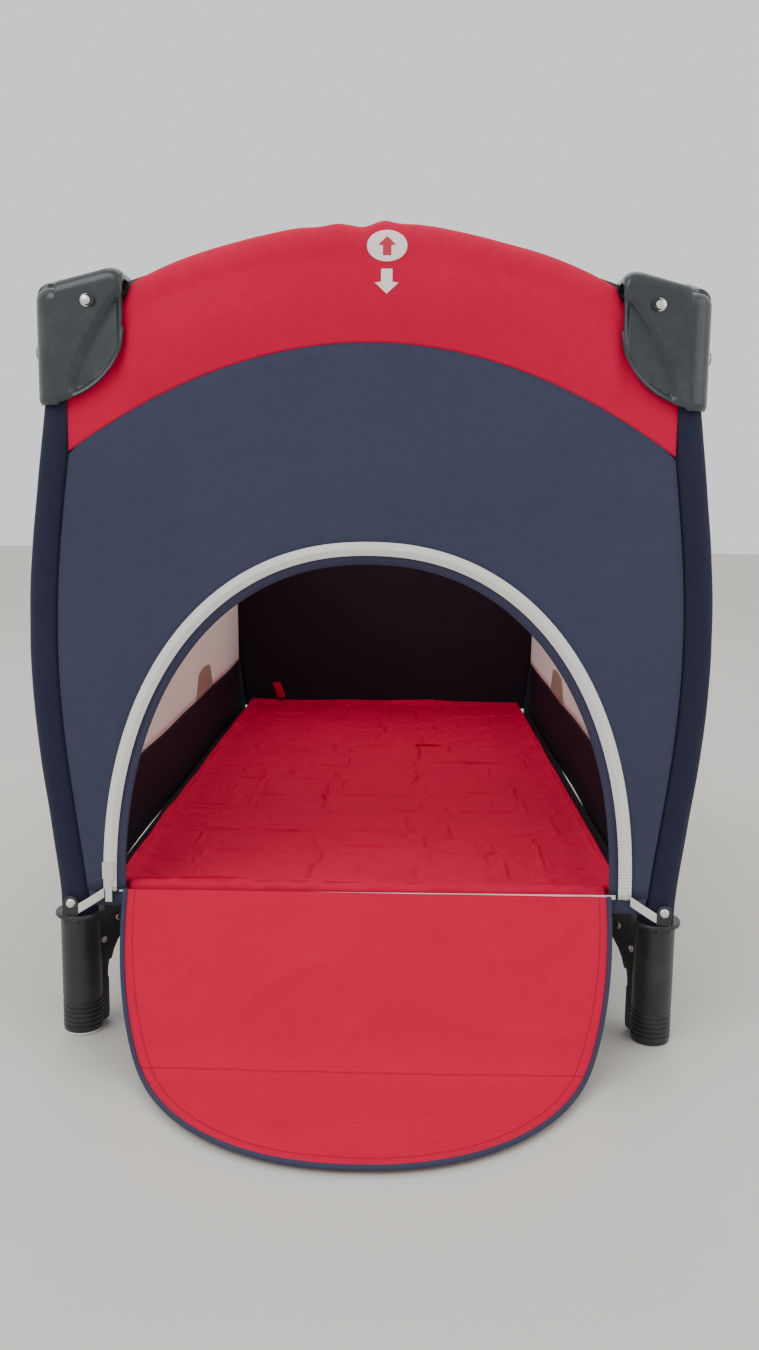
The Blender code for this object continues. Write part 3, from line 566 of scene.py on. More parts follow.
tape_cloth, tree, shader = new_material("woven_tape")
shader.inputs["Sheen Weight"].default_value = 0.1
path = node(tree, "ShaderNodeUVMap", uv_map="along_tape")
ribs = node(tree, "ShaderNodeTexWave", {"Vector": path.outputs["UV"]}, bands_direction="X", Scale=120.0,
            Distortion=0.4)
tape_tone = node(tree, "ShaderNodeMix", {"Factor": ribs.outputs["Fac"]}, data_type="RGBA")
tape_tone.inputs["A"].default_value = (0.60, 0.61, 0.57, 1)
tape_tone.inputs["B"].default_value = (0.78, 0.79, 0.75, 1)
tape_rough = node(tree, "ShaderNodeMapRange", {"Value": ribs.outputs["Fac"]}, To_Min=0.85, To_Max=0.6)
tape_bump = node(tree, "ShaderNodeBump", {"Height": ribs.outputs["Fac"]}, Strength=0.5, Distance=0.0004)
tree.links.new(tape_tone.outputs["Result"], shader.inputs["Base Color"])
tree.links.new(tape_rough.outputs["Result"], shader.inputs["Roughness"])
tree.links.new(tape_bump.outputs["Normal"], shader.inputs["Normal"])

TAPE_INSET, TAPE_WIDE = 0.0095, 0.0130
TAPE_PROFILE = ((0.0, 0.0), (0.02, 0.5), (0.36, 0.55), (0.42, 1.5), (0.5, 1.9), (0.58, 1.5), (0.64, 0.55),
                (0.98, 0.5), (1.0, 0.0))


def along_tape(u, v):
    angle = math.pi * u
    step = min(int(v * (len(TAPE_PROFILE) - 1) + 0.001), len(TAPE_PROFILE) - 1)
    across, proud = TAPE_PROFILE[step]
    x, z = arch_point(angle, TAPE_INSET + TAPE_WIDE * across)
    return x, tape_high.y - 0.0008 * proud - 0.0005, z


tape = cloth_grid("zip_tape", 200, len(TAPE_PROFILE) - 1, along_tape, tape_cloth)
layer = tape.data.uv_layers.active or tape.data.uv_layers.new()
layer.name = "along_tape"
thicken(tape, 0.0006, 1)
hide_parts("door_tape")
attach(tape, "corner_front_left")
narrow_across(tape)



def tape_tail(side):
    """The loose end of the tape, turned from the foot of the arch down towards the leg."""
    def shape(u, v):
        x = tape_high.x - 0.002 + 0.031 * u
        z = door_sill + 0.004 - 0.020 * u - 0.0105 * v
        y = tape_low.y - 0.0012 - 0.0016 * math.sin(math.pi * u)
        return side * x, y, z

    return shape


def sill_tape(u, v):
    x = (2 * u - 1) * (tape_high.x - 0.018)
    return x, tape_low.y - 0.0022, door_sill + 0.0008 + 0.0048 * v * (0.35 + 0.65 * u)


for name, across, along, shape, flat, area in (
    ("tape_tail_left", 24, 8, tape_tail(LEFT), (0.037, 0.0105), 0.00038),
    ("tape_tail_right", 24, 8, tape_tail(RIGHT), (0.037, 0.0105), 0.00038),
    ("sill_tape", 160, 4, sill_tape, (0.514, 0.010), 0.0017),
):
    strip = thicken(cloth_grid(name, across, along, shape, tape_cloth), 0.0005)
    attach(strip, "corner_front_left")
    narrow_across(strip)

# ---------------------------------------------------------------------------------------------
# Moulded plastic. Caps, legs, hub and hinges are black nylon with a fine satin texture, paler
# where hands and floors have rubbed it.

moulded = bpy.data.node_groups.new("moulded_plastic", "ShaderNodeTree")
ins, outs = group_sockets(
    moulded,
    [("Base", "NodeSocketColor", (0.01, 0.01, 0.012, 1)), ("Worn", "NodeSocketColor", (0.04, 0.04, 0.045, 1)),
     ("Gloss", "NodeSocketFloat", 0.3)],
    [("Colour", "NodeSocketColor"), ("Roughness", "NodeSocketFloat"), ("Height", "NodeSocketFloat")],
)
place = node(moulded, "ShaderNodeTexCoord")
grain = node(moulded, "ShaderNodeTexNoise", {"Vector": place.outputs["Object"]}, Scale=1400.0, Detail=2.0)
scuffs = node(moulded, "ShaderNodeTexNoise", {"Vector": place.outputs["Object"]}, Scale=38.0, Detail=6.0,
              Roughness=0.7)
worn = node(moulded, "ShaderNodeMapRange", {"Value": scuffs.outputs["Fac"]}, From_Min=0.48, From_Max=0.80)
tone = node(moulded, "ShaderNodeMix", {"Factor": worn.outputs["Result"], "A": ins.outputs["Base"],
                                       "B": ins.outputs["Worn"]}, data_type="RGBA")
rough = node(moulded, "ShaderNodeMath", {0: scuffs.outputs["Fac"], 2: ins.outputs["Gloss"]},
             operation="MULTIPLY_ADD")
rough.inputs[1].default_value = 0.16
moulded.links.new(tone.outputs["Result"], outs.inputs["Colour"])
moulded.links.new(rough.outputs[0], outs.inputs["Roughness"])
moulded.links.new(grain.outputs["Fac"], outs.inputs["Height"])


def plastic_material(name, base, worn_colour, gloss, bump=0.10):
    material, tree, shader = new_material(name)
    surface = tree.nodes.new("ShaderNodeGroup")
    surface.node_tree = moulded
    surface.inputs["Base"].default_value = (*base, 1)
    surface.inputs["Worn"].default_value = (*worn_colour, 1)
    surface.inputs["Gloss"].default_value = gloss
    raised = node(tree, "ShaderNodeBump", {"Height": surface.outputs["Height"]}, Strength=bump,
                  Distance=0.0004)
    tree.links.new(surface.outputs["Colour"], shader.inputs["Base Color"])
    tree.links.new(surface.outputs["Roughness"], shader.inputs["Roughness"])
    tree.links.new(raised.outputs["Normal"], shader.inputs["Normal"])
    return material


black_plastic = plastic_material("black_nylon", (0.012, 0.014, 0.016), (0.030, 0.033, 0.037), 0.28)
cap_plastic = plastic_material("cap_nylon", (0.022, 0.027, 0.033), (0.044, 0.051, 0.060), 0.16)
painted_steel = plastic_material("black_painted_steel", (0.010, 0.010, 0.012), (0.045, 0.043, 0.042), 0.22,
                                 bump=0.05)
button_plastic = plastic_material("red_button", (0.50, 0.02, 0.03), (0.60, 0.08, 0.08), 0.30)

bright, tree, shader = new_material("bright_rivet")
shader.inputs["Metallic"].default_value = 1.0
place = node(tree, "ShaderNodeTexCoord")
turned = node(tree, "ShaderNodeTexNoise", {"Vector": place.outputs["Object"]}, Scale=700.0, Detail=3.0)
steel_tone = node(tree, "ShaderNodeMix", {"Factor": turned.outputs["Fac"]}, data_type="RGBA")
steel_tone.inputs["A"].default_value = (0.80, 0.79, 0.76, 1)
steel_tone.inputs["B"].default_value = (0.62, 0.61, 0.58, 1)
steel_rough = node(tree, "ShaderNodeMapRange", {"Value": turned.outputs["Fac"]}, To_Min=0.18, To_Max=0.42)
tree.links.new(steel_tone.outputs["Result"], shader.inputs["Base Color"])
tree.links.new(steel_rough.outputs["Result"], shader.inputs["Roughness"])


def dome(name, centre, outward, radius, height, body):
    """A domed rivet head with a flat rim, standing on a surface."""
    outward = Vector(outward).normalized()
    bpy.ops.object.select_all(action="DESELECT")
    bpy.ops.mesh.primitive_uv_sphere_add(segments=24, ring_count=12, radius=radius)
    head = bpy.context.active_object
    head.name = name
    bpy.ops.object.mode_set(mode="EDIT")
    bpy.ops.mesh.select_all(action="SELECT")
    bpy.ops.mesh.bisect(plane_co=(0, 0, 0), plane_no=(0, 0, 1), clear_inner=True, use_fill=True)
    bpy.ops.object.mode_set(mode="OBJECT")
    turn = Vector((0, 0, 1)).rotation_difference(outward).to_matrix().to_4x4()
    head.data.transform(Matrix.Translation(centre) @ turn @ Matrix.Diagonal((1, 1, height / radius, 1)))
    head.data.materials.append(bright)
    bpy.ops.object.shade_smooth_by_angle(angle=math.radians(50))
    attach(head, body)
    return head


# ---------------------------------------------------------------------------------------------
# Corner caps. Each is one black moulding over the rail ends: two rounded wings with a raised
# field and a hollow leaf along the inner edge, held by a bright rivet in each face.

cap_low, cap_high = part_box("cap_back_right")
CAP_WING, CAP_ROUND, CAP_WALL = 0.087, 0.022, 0.003
cap_x = cap_high.x - CAP_WALL / 2
cap_y = cap_high.y - CAP_WALL / 2
CAP_TOP_INNER, CAP_TOP_OUTER = cap_high.z - CAP_WALL / 2, 0.774
CAP_LOW_INNER, CAP_LOW_OUTER = 0.735, cap_low.z + CAP_WALL / 2
CAP_ROOF = 0.060


def cap_relief(reach, z):
    """How far the face is sunk at a place: a leaf-shaped hollow and a soft rim round the edge."""
    share = reach / CAP_WING
    low = cap_bottom(share)
    up = (z - CAP_LOW_OUTER) / (CAP_TOP_INNER - CAP_LOW_OUTER)
    edge = 0.60 - 0.60 * max(0.0, up - 0.10) ** 1.5 / 0.62
    hollow = 1 / (1 + math.exp(-(edge - share) / 0.018))
    rim = min(1.0, max(0.0, z - low) / 0.006) * min(1.0, max(0.0, reach) / 0.005)
    fade = min(1.0, max(0.0, (0.86 - up) / 0.10))
    bowl = 1 - 0.55 * max(0.0, (edge - share) / 0.6)
    return 0.0068 * hollow * rim * fade * bowl


def cap_bottom(share):
    return CAP_LOW_OUTER + (CAP_LOW_INNER - CAP_LOW_OUTER) * (1 - math.sqrt(max(0.0, 1 - (1 - share) ** 2)))


def cap_point(u, v):
    path = u * 2 * CAP_WING
    straight = CAP_WING - CAP_ROUND
    arc = 2 * CAP_WING - 2 * straight
    if path < straight:
        x, y, reach, nx, ny = cap_x - CAP_WING + path, cap_y, path, 0, -1
    elif path > 2 * CAP_WING - straight:
        back = 2 * CAP_WING - path
        x, y, reach, nx, ny = cap_x, cap_y - CAP_WING + back, back, -1, 0
    else:
        a = math.radians(90) * (1 - (path - straight) / arc)
        x = cap_x - CAP_ROUND + CAP_ROUND * math.cos(a)
        y = cap_y - CAP_ROUND + CAP_ROUND * math.sin(a)
        reach, nx, ny = CAP_WING, -math.cos(a), -math.sin(a)
    share = min(reach / CAP_WING, 1.0)
    low = cap_bottom(share)
    corner_cut = 0.013 * (1 - math.sqrt(1 - (1 - min(reach / 0.016, 1.0)) ** 2))
    top = CAP_TOP_INNER + (CAP_TOP_OUTER - CAP_TOP_INNER) * share - corner_cut
    face, round_top = 0.72, 0.86
    if v < face:
        t = v / face
        z = low + (top - 0.011 - low) * t
        inward = cap_relief(reach, z)
        inward += 0.0022 * max(0.0, 1 - t / 0.06) ** 2 + 0.002 * max(0.0, 1 - reach / 0.004) ** 2
    elif v < round_top:
        a = math.radians(90) * (v - face) / (round_top - face)
        z = top - 0.011 + 0.011 * math.sin(a)
        inward = 0.011 * (1 - math.cos(a))
        inward += 0.002 * max(0.0, 1 - reach / 0.004) ** 2 * math.cos(a)
    else:
        t = (v - round_top) / (1 - round_top)
        roof_x, roof_y = min(x, cap_x - CAP_ROOF), min(y, cap_y - CAP_ROOF)
        roof_share = min(reach, CAP_WING - CAP_ROOF) / CAP_WING
        roof_z = CAP_TOP_INNER + (CAP_TOP_OUTER - CAP_TOP_INNER) * roof_share - corner_cut
        start = Vector((x + nx * 0.011, y + ny * 0.011, top))
        end = Vector((roof_x, roof_y, roof_z))
        spot = start.lerp(end, min(t / 0.75, 1.0))
        return spot.x, spot.y, spot.z - 0.012 * max(0.0, (t - 0.75) / 0.25)
    return x + nx * inward, y + ny * inward, z


def to_corner(obj, sx, sy):
    """Mirrors a back right piece into its own corner, with its faces still outwards."""
    obj.data.transform(Matrix.Diagonal((sx, sy, 1, 1)))
    if sx * sy < 0:
        obj.data.flip_normals()


RAIL_PIN_IN = 0.030
for x_name, sx in (("left", LEFT), ("right", RIGHT)):
    for y_name, sy in (("front", FRONT), ("back", BACK)):
        corner = y_name + "_" + x_name
        cap = cloth_grid("corner_cap_" + corner, 120, 90, cap_point, cap_plastic)
        thicken(cap, CAP_WALL, 0)
        to_corner(cap, sx, sy)
        only(cap)
        edge = cap.modifiers.new("soft_edge", "BEVEL")
        edge.width = 0.0008
        edge.segments = 2
        edge.limit_method = "ANGLE"
        edge.angle_limit = math.radians(55)
        bpy.ops.object.modifier_apply(modifier="soft_edge")
        bpy.ops.object.shade_smooth_by_angle(angle=math.radians(50))
        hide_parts("cap_" + corner)
        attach(cap, "corner_" + corner)
        for part, centre, outward in (
            ("end", (post_x - RAIL_PIN_IN, cap_high.y, rail_z), (0, 1, 0)),
            ("side", (cap_high.x, post_y - RAIL_PIN_IN, rail_z), (1, 0, 0)),
            ("post", (cap_high.x, post_y, 0.715), (1, 0, 0)),
        ):
            spot = Vector((centre[0] * sx, centre[1] * sy, centre[2]))
            way = Vector((outward[0] * sx, outward[1] * sy, 0))
            name = "cap_rivet_" + part + "_" + corner
            dome(name, spot + way * 0.0004, way, 0.0066, 0.0027, "corner_" + corner)

# ---------------------------------------------------------------------------------------------
# Legs. A round black foot with ribs, a flange that the sleeve stops on, a web towards the middle
# that holds the base strut, and an ear riveted to the post.

strut_low, strut_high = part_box("base_strut_back_right")
STRUT_Z = (strut_low.z + strut_high.z) / 2
LEG_RADIUS, LEG_TOP = 0.021, 0.1353
hubward = Vector((-post_x, -post_y, 0)).normalized()
sideways = Vector((-hubward.y, hubward.x, 0))
RIB_LOW, RIB_PITCH, RIBS = 0.006, 0.0052, 6
LEG_PROFILE = [(0.0, 0.0), (0.0185, 0.0), (0.0203, 0.0015)]
for rib in range(RIBS):
    base = RIB_LOW + rib * RIB_PITCH
    LEG_PROFILE += [(LEG_RADIUS, base), (LEG_RADIUS, base + 0.0028), (LEG_RADIUS - 0.0010, base + 0.0034),
                    (LEG_RADIUS - 0.0010, base + 0.0046)]
LEG_PROFILE += [(LEG_RADIUS, 0.040), (LEG_RADIUS, 0.128), (LEG_RADIUS + 0.001, 0.1300), (0.0255, 0.1306),
                (0.0262, 0.1318), (0.0262, 0.1340), (0.0255, LEG_TOP), (0.0160, LEG_TOP), (0.0150, 0.1340),
                (0.0150, 0.1200), (0.0, 0.1200)]


def lathe(name, profile, centre, material, sides=48):
    """A turned or moulded round body from its outline, closed at both ends on the axis."""
    bpy.ops.object.select_all(action="DESELECT")
    bpy.ops.mesh.primitive_grid_add(x_subdivisions=sides, y_subdivisions=len(profile) - 1, size=1)
    body = bpy.context.active_object
    body.name = name
    for vertex in body.data.vertices:
        angle = 2 * math.pi * (vertex.co.x + 0.5)
        radius, z = profile[round((vertex.co.y + 0.5) * (len(profile) - 1))]
        vertex.co = Vector(centre) + Vector((radius * math.cos(angle), radius * math.sin(angle), z))
    join_doubles(body)
    body.data.materials.append(material)
    bpy.ops.object.shade_smooth_by_angle(angle=math.radians(40))
    return body


def web_plate(name, outline, level, thickness, material, origin, along, across, bevel=0.0012):
    """A flat moulded plate from an outline of (along, up) points, with softened edges."""
    bpy.ops.object.select_all(action="DESELECT")
    bpy.ops.mesh.primitive_circle_add(vertices=len(outline), fill_type="NGON")
    plate = bpy.context.active_object
    plate.name = name
    for vertex, (reach, up) in zip(plate.data.vertices, outline):
        vertex.co = origin + along * reach + across * (level - thickness / 2) + Vector((0, 0, up))
    bpy.ops.object.mode_set(mode="EDIT")
    bpy.ops.mesh.select_all(action="SELECT")
    bpy.ops.mesh.extrude_region_move(TRANSFORM_OT_translate={"value": across * thickness})
    bpy.ops.mesh.select_all(action="SELECT")
    bpy.ops.mesh.normals_make_consistent(inside=False)
    bpy.ops.object.mode_set(mode="OBJECT")
    plate.data.materials.append(material)
    edge = plate.modifiers.new("soft_edge", "BEVEL")
    edge.width = bevel
    edge.segments = 3
    edge.limit_method = "ANGLE"
    edge.angle_limit = math.radians(35)
    bpy.ops.object.modifier_apply(modifier="soft_edge")
    bpy.ops.object.shade_smooth_by_angle(angle=math.radians(35))
    return plate


WEB_REACH, WEB_HALF, CHEEK = 0.0625, 0.013, 0.0032
spine_outline = [(0.0, 0.0005), (0.0300, 0.0025), (0.0315, 0.0100), (0.0315, 0.0490), (0.0300, 0.0520),
                 (0.0305, 0.0600), (0.0335, 0.0720), (0.0360, 0.0790), (0.0360, 0.1010), (0.0300, 0.1040),
                 (0.0, 0.1040)]
cheek_outline = [(0.0100, 0.0700), (0.0330, 0.0700), (0.0375, 0.0800), (0.0440, 0.0885), (0.0530, 0.0960),
                 (0.0595, 0.1010), (0.0620, 0.1070), (WEB_REACH, 0.1180), (WEB_REACH, 0.1325),
                 (0.0600, LEG_TOP), (0.0100, LEG_TOP)]
ear_outline = [(-0.0078, 0.126), (-0.0078, 0.1480)]
ear_outline += [(0.0078 * math.cos(math.radians(a)), 0.1492 + 0.0078 * math.sin(math.radians(a)))
                for a in range(170, 9, -20)]
ear_outline += [(0.0078, 0.1480), (0.0078, 0.126)]
pad_material = plastic_material("worn_foot_pad", (0.62, 0.60, 0.55), (0.40, 0.38, 0.34), 0.6)
for x_name, sx in (("left", LEFT), ("right", RIGHT)):
    for y_name, sy in (("front", FRONT), ("back", BACK)):
        corner = y_name + "_" + x_name
        body = "corner_" + corner
        axis = Vector((post_x, post_y, 0))
        pieces = [
            lathe("leg_barrel_" + corner, LEG_PROFILE, axis, black_plastic),
            web_plate("leg_web_" + corner, spine_outline, 0, 2 * WEB_HALF - 0.004, black_plastic,
                      axis, hubward, sideways, bevel=0.0030),
            web_plate("leg_cheek_front_" + corner, cheek_outline, WEB_HALF - CHEEK / 2, CHEEK, black_plastic,
                      axis, hubward, sideways),
            web_plate("leg_cheek_back_" + corner, cheek_outline, CHEEK / 2 - WEB_HALF, CHEEK, black_plastic,
                      axis, hubward, sideways),
            web_plate("leg_ear_" + corner, ear_outline, 0.0212, 0.0038, black_plastic,
                      axis + Vector((0.004, 0, 0)), Vector((1, 0, 0)), Vector((0, 1, 0))),
        ]
        for part in pieces:
            to_corner(part, sx, sy)
            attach(part, body)
        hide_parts("leg_" + corner)
        flip = Vector((sx, sy, 1))
        ear_pin = axis + Vector((0.004, 0.0230, 0.1492))
        dome("ear_rivet_" + corner, ear_pin * flip, (0, sy, 0), 0.0052, 0.0026, body)
        for level, side_name in ((WEB_HALF, "outer"), (-WEB_HALF, "inner")):
            ending = side_name + "_" + corner
            out = sideways * level * flip
            pin = axis + hubward * 0.045 + sideways * level + Vector((0, 0, STRUT_Z))
            dome("strut_rivet_" + ending, pin * flip, out, 0.0042, 0.0014, body)
            web_pin = axis + hubward * 0.0215 + sideways * level + Vector((0, 0, 0.0960))
            dome("web_rivet_" + ending, web_pin * flip, out, 0.0038, 0.0014, body)
        if corner == "front_left":
            pad = lathe("worn_foot_pad", [(0.0, -0.0001), (0.0200, 0.0), (0.0214, 0.0012), (0.0212, 0.0030),
                                          (0.0190, 0.0034), (0.0, 0.0034)], axis * flip, pad_material)
            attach(pad, body)

# ---------------------------------------------------------------------------------------------
# Door flap. Red cloth sewn to the sill and unzipped all round, so it slopes down and lies on the
# floor. Its edge is bound with navy piping and hemmed with a row of stitches.

record_joints = {joint["name"]: joint for joint in frame["record"]["behaviour"]["joints"]}
hinge_at = Vector(record_joints["door_open"]["pos_m"])
bend_at = Vector(record_joints["door_bend"]["pos_m"])
FLAP_HALF, FLAP_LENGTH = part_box("door_flap_upper")[1].x - 0.004, 0.342
BEND = (bend_at - hinge_at).length
slope = (bend_at - hinge_at).normalized()
BEND_SOFTNESS = 0.028


def flap_spot(x, d, lift):
    """A place on the flap from its distance across and its distance from the sill."""
    s = d - BEND
    soft = math.sqrt(s * s + BEND_SOFTNESS ** 2)
    spot = bend_at + Vector((0, -1, 0)) * (s + soft) / 2 + slope * (s - soft) / 2
    normal = Vector((0, slope.z, -slope.y)) if s < 0 else Vector((0, 0, 1))
    share = 0.5 + 0.5 * s / soft
    normal = (Vector((0, slope.z, -slope.y)) * (1 - share) + Vector((0, 0, 1)) * share).normalized()
    if normal.z < 0:
        normal = -normal
    return Vector((x, spot.y, spot.z)) + normal * lift


def flap_half(d):
    return FLAP_HALF * max(0.0, 1 - (d / FLAP_LENGTH) ** ARCH_POWER) ** (1 / ARCH_POWER)


def flap_turn(d):
    return math.asin(min(1.0, (d / FLAP_LENGTH) ** (ARCH_POWER / 2)))


def flap_creases(x, d):
    hem = min(1.0, (flap_half(d) - abs(x)) / 0.03)
    lying = 1 / (1 + math.exp(-(d - BEND) / 0.02))
    depth = 0.0016 + 0.0008 * (1 - lying)
    fold_lines = lumps(x * 5 + d * 9, d * 4 - x * 9, 2.5)
    ridge = 1 - min(1.0, abs(fold_lines) * 3)
    return 0.0022 + depth * (0.7 * ridge ** 2 + lumps(x * 8, d * 9, 7.1)) * max(0.0, hem)


def distance_down(y):
    """The distance from the sill of a place on the flap, found from how far forward it is."""
    near, far = 0.0, FLAP_LENGTH
    for _ in range(18):
        middle = (near + far) / 2
        if flap_spot(0, middle, 0).y > y:
            near = middle
        else:
            far = middle
    return near


def flap_part(d0, d1):
    a0, a1 = flap_turn(d0), flap_turn(d1)

    def shape(u, v):
        d = FLAP_LENGTH * math.sin(a0 + (a1 - a0) * v) ** (2 / ARCH_POWER)
        x = (2 * u - 1) * flap_half(d)
        return flap_spot(x, d, flap_creases(x, d))

    return shape


hemmed = flap_cloth.copy()
hemmed.name = "hemmed_flap_cloth"
tree = hemmed.node_tree
edge = node(tree, "ShaderNodeAttribute", attribute_name="from_edge")
place = node(tree, "ShaderNodeTexCoord")
line = node(tree, "ShaderNodeMath", {0: edge.outputs["Fac"]}, operation="SUBTRACT")
line.inputs[1].default_value = 0.011
away = node(tree, "ShaderNodeMath", {0: line.outputs[0]}, operation="ABSOLUTE")
stitch = node(tree, "ShaderNodeMapRange", {"Value": away.outputs[0]}, From_Min=0.0004, From_Max=0.0012,
              To_Min=0.55, To_Max=0.0)
weave_node = next(item for item in tree.nodes if item.type == "GROUP")
shader = tree.nodes["Principled BSDF"]
stitched = node(tree, "ShaderNodeMix", {"Factor": stitch.outputs["Result"]}, data_type="RGBA")
tree.links.new(weave_node.outputs["Colour"], stitched.inputs["A"])
stitched.inputs["B"].default_value = (0.26, 0.010, 0.022, 1)
tree.links.new(stitched.outputs["Result"], shader.inputs["Base Color"])


def rope(name, path, radius, material, sides=10):
    """A round cord or piping along a list of points, closed at its ends."""
    bpy.ops.object.select_all(action="DESELECT")
    bpy.ops.mesh.primitive_grid_add(x_subdivisions=sides, y_subdivisions=len(path) + 1, size=1)
    cord = bpy.context.active_object
    cord.name = name
    for vertex in cord.data.vertices:
        row = round((vertex.co.y + 0.5) * (len(path) + 1))
        at = min(max(row - 1, 0), len(path) - 1)
        heading = (path[min(at + 1, len(path) - 1)] - path[max(at - 1, 0)]).normalized()
        level = heading.cross(Vector((0, 0, 1)))
        level = level.normalized() if level.length > 0.1 else heading.cross(Vector((0, 1, 0))).normalized()
        up = level.cross(heading)
        angle = 2 * math.pi * (vertex.co.x + 0.5)
        reach = 0.0 if row in (0, len(path) + 1) else radius
        vertex.co = path[at] + (level * math.cos(angle) + up * math.sin(angle)) * reach
    join_doubles(cord)
    cord.data.materials.append(material)
    bpy.ops.object.shade_smooth()
    return cord


for part_name, d0, d1, rows in (("upper", 0.0, BEND, 70), ("lower", BEND, FLAP_LENGTH * 0.9995, 90)):
    sheet = cloth_grid("flap_" + part_name, 150, rows, flap_part(d0, d1), hemmed)
    distance = sheet.data.attributes.new("from_edge", "FLOAT", "POINT")
    for index, vertex in enumerate(sheet.data.vertices):
        down = distance_down(vertex.co.y)
        outwards = (abs(vertex.co.x) / FLAP_HALF) ** ARCH_POWER + (down / FLAP_LENGTH) ** ARCH_POWER
        distance.data[index].value = (1 - outwards ** (1 / ARCH_POWER)) * FLAP_HALF * 1.1
    thicken(sheet, 0.0008)
    body = "door_" + part_name
    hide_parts("door_flap_" + part_name)
    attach(sheet, body)
    narrow_across(sheet)
    turns = [flap_turn(d0) + (flap_turn(d1) - flap_turn(d0)) * step / 60 for step in range(61)]
    ways = [[flap_spot(side * FLAP_HALF * math.cos(turn) ** (2 / ARCH_POWER),
                       FLAP_LENGTH * math.sin(turn) ** (2 / ARCH_POWER), 0.0026) for turn in turns]
            for side in (LEFT, RIGHT)]
    if part_name == "upper":
        runs = {"left": ways[0], "right": ways[1]}
    else:
        runs = {"round": ways[0] + ways[1][::-1][1:]}
    for run_name, way in runs.items():
        piping = rope("flap_piping_" + part_name + "_" + run_name, way, 0.0026, navy_cloth)
        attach(piping, body)
        narrow_across(piping)

# ---------------------------------------------------------------------------------------------
# Mattress. Padded boards in a loose red cover with piping round the top edge, a puckered front
# hem that reaches the sill, and a red pull tab at the back.

mattress_low, mattress_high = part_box("mattress")
pad_half_x = mattress_high.x - 0.004
pad_front, pad_back = mattress_low.y + 0.002, mattress_high.y - 0.002


def pad_top(u, v):
    x, y = (2 * u - 1) * pad_half_x, pad_front + (pad_back - pad_front) * v
    inset = min(1.0, min(pad_half_x - abs(x), y - pad_front, pad_back - y) / 0.05)
    round_edge = math.sqrt(max(0.0, 1 - (1 - inset) ** 2))
    creases = lumps(x * 7 + y * 3, y * 5 - x * 4, 1.7)
    ridge = (1 - min(1.0, abs(creases) * 4)) ** 2
    fine = lumps(x * 22, y * 13, 4.4)
    wrinkles = 0.0045 * ridge + 0.0030 * fine + 0.003 * creases
    return x, y, mattress_high.z - 0.016 + 0.012 * round_edge + wrinkles * inset


top = cloth_grid("mattress_cover", 130, 250, pad_top, red_cloth)
for vertex in top.data.vertices:
    x, y, z = vertex.co
    soft = lumps(x * 6, y * 5, 5.5) + 0.6 * lumps(x * 15, y * 11, 3.1)
    vertex.co.z = mattress_high.z - 0.010 + 0.006 * soft
held = top.vertex_groups.new(name="seam")
seam_x = pad_half_x - 0.003
seam = [vertex.index for vertex in top.data.vertices
        if abs(vertex.co.x) > seam_x or not pad_front + 0.003 < vertex.co.y < pad_back - 0.003]
held.add(seam, 1.0, "REPLACE")
bpy.ops.object.select_all(action="DESELECT")
bpy.ops.mesh.primitive_cube_add(size=1)
board = bpy.context.active_object
board.data.transform(Matrix.Diagonal((2 * pad_half_x + 0.02, pad_back - pad_front + 0.02, 0.02, 1)))
board.data.transform(Matrix.Translation((0, 0, mattress_high.z - 0.030)))
board.modifiers.new("stop", "COLLISION")
board.collision.thickness_outer = 0.001
loose = top.modifiers.new("loose_cover", "CLOTH")
loose.settings.quality = 6
loose.settings.mass = 0.2
loose.settings.tension_stiffness = 18
loose.settings.compression_stiffness = 18
loose.settings.shear_stiffness = 6
loose.settings.bending_stiffness = 0.35
loose.settings.vertex_group_mass = "seam"
loose.settings.shrink_min = -0.045
loose.collision_settings.distance_min = 0.001
only(top)
for step in range(1, 31):
    bpy.context.scene.frame_set(step)
bpy.ops.object.modifier_apply(modifier="loose_cover")
bpy.context.scene.frame_set(1)
bpy.data.objects.remove(board)
only(top)
bpy.ops.object.mode_set(mode="EDIT")
bpy.ops.mesh.select_all(action="SELECT")
bpy.ops.mesh.extrude_region_move(TRANSFORM_OT_translate={"value": (0, 0, -0.004)})
bpy.ops.object.mode_set(mode="OBJECT")
mesh = top.data
picked = [vertex.index for vertex in mesh.vertices if vertex.select]
for index in picked:
    mesh.vertices[index].co.z = mattress_low.z + 0.001
bpy.ops.object.mode_set(mode="EDIT")
bpy.ops.mesh.select_all(action="SELECT")
bpy.ops.mesh.normals_make_consistent(inside=False)
bpy.ops.object.mode_set(mode="OBJECT")
bpy.ops.object.shade_smooth_by_angle(angle=math.radians(60))
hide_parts("mattress")
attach(top, "mattress")

edge_path = []
for x0, y0, x1, y1, count in ((-1, 0, 1, 0, 80), (1, 0, 1, 1, 150), (1, 1, -1, 1, 80), (-1, 1, -1, 0, 150)):
    for step in range(count):
        t = step / count
        x = (x0 + (x1 - x0) * t) * pad_half_x
        y = pad_front + (pad_back - pad_front) * (y0 + (y1 - y0) * t)
        edge_path.append(Vector((x, y, mattress_high.z - 0.014 + ripple(x, y, 0, 8, 0.002, 71))))
edge_path.append(edge_path[0])
edging = rope("mattress_piping", edge_path, 0.0032, red_cloth)
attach(edging, "mattress")


def sill_hem(u, v):
    x = (2 * u - 1) * (FLAP_HALF - 0.001)
    pucker = lumps(x * 60, v * 2, 3.3) * 0.0030 * math.sin(math.pi * min(v * 1.15, 1.0))
    roll = math.pi * v
    y = -0.5820 - 0.0235 * math.sin(roll / 2) ** 1.2
    z = mattress_high.z - 0.0130 + 0.0075 * math.sin(roll) ** 0.8 - 0.004 * v + pucker
    return x, y, z


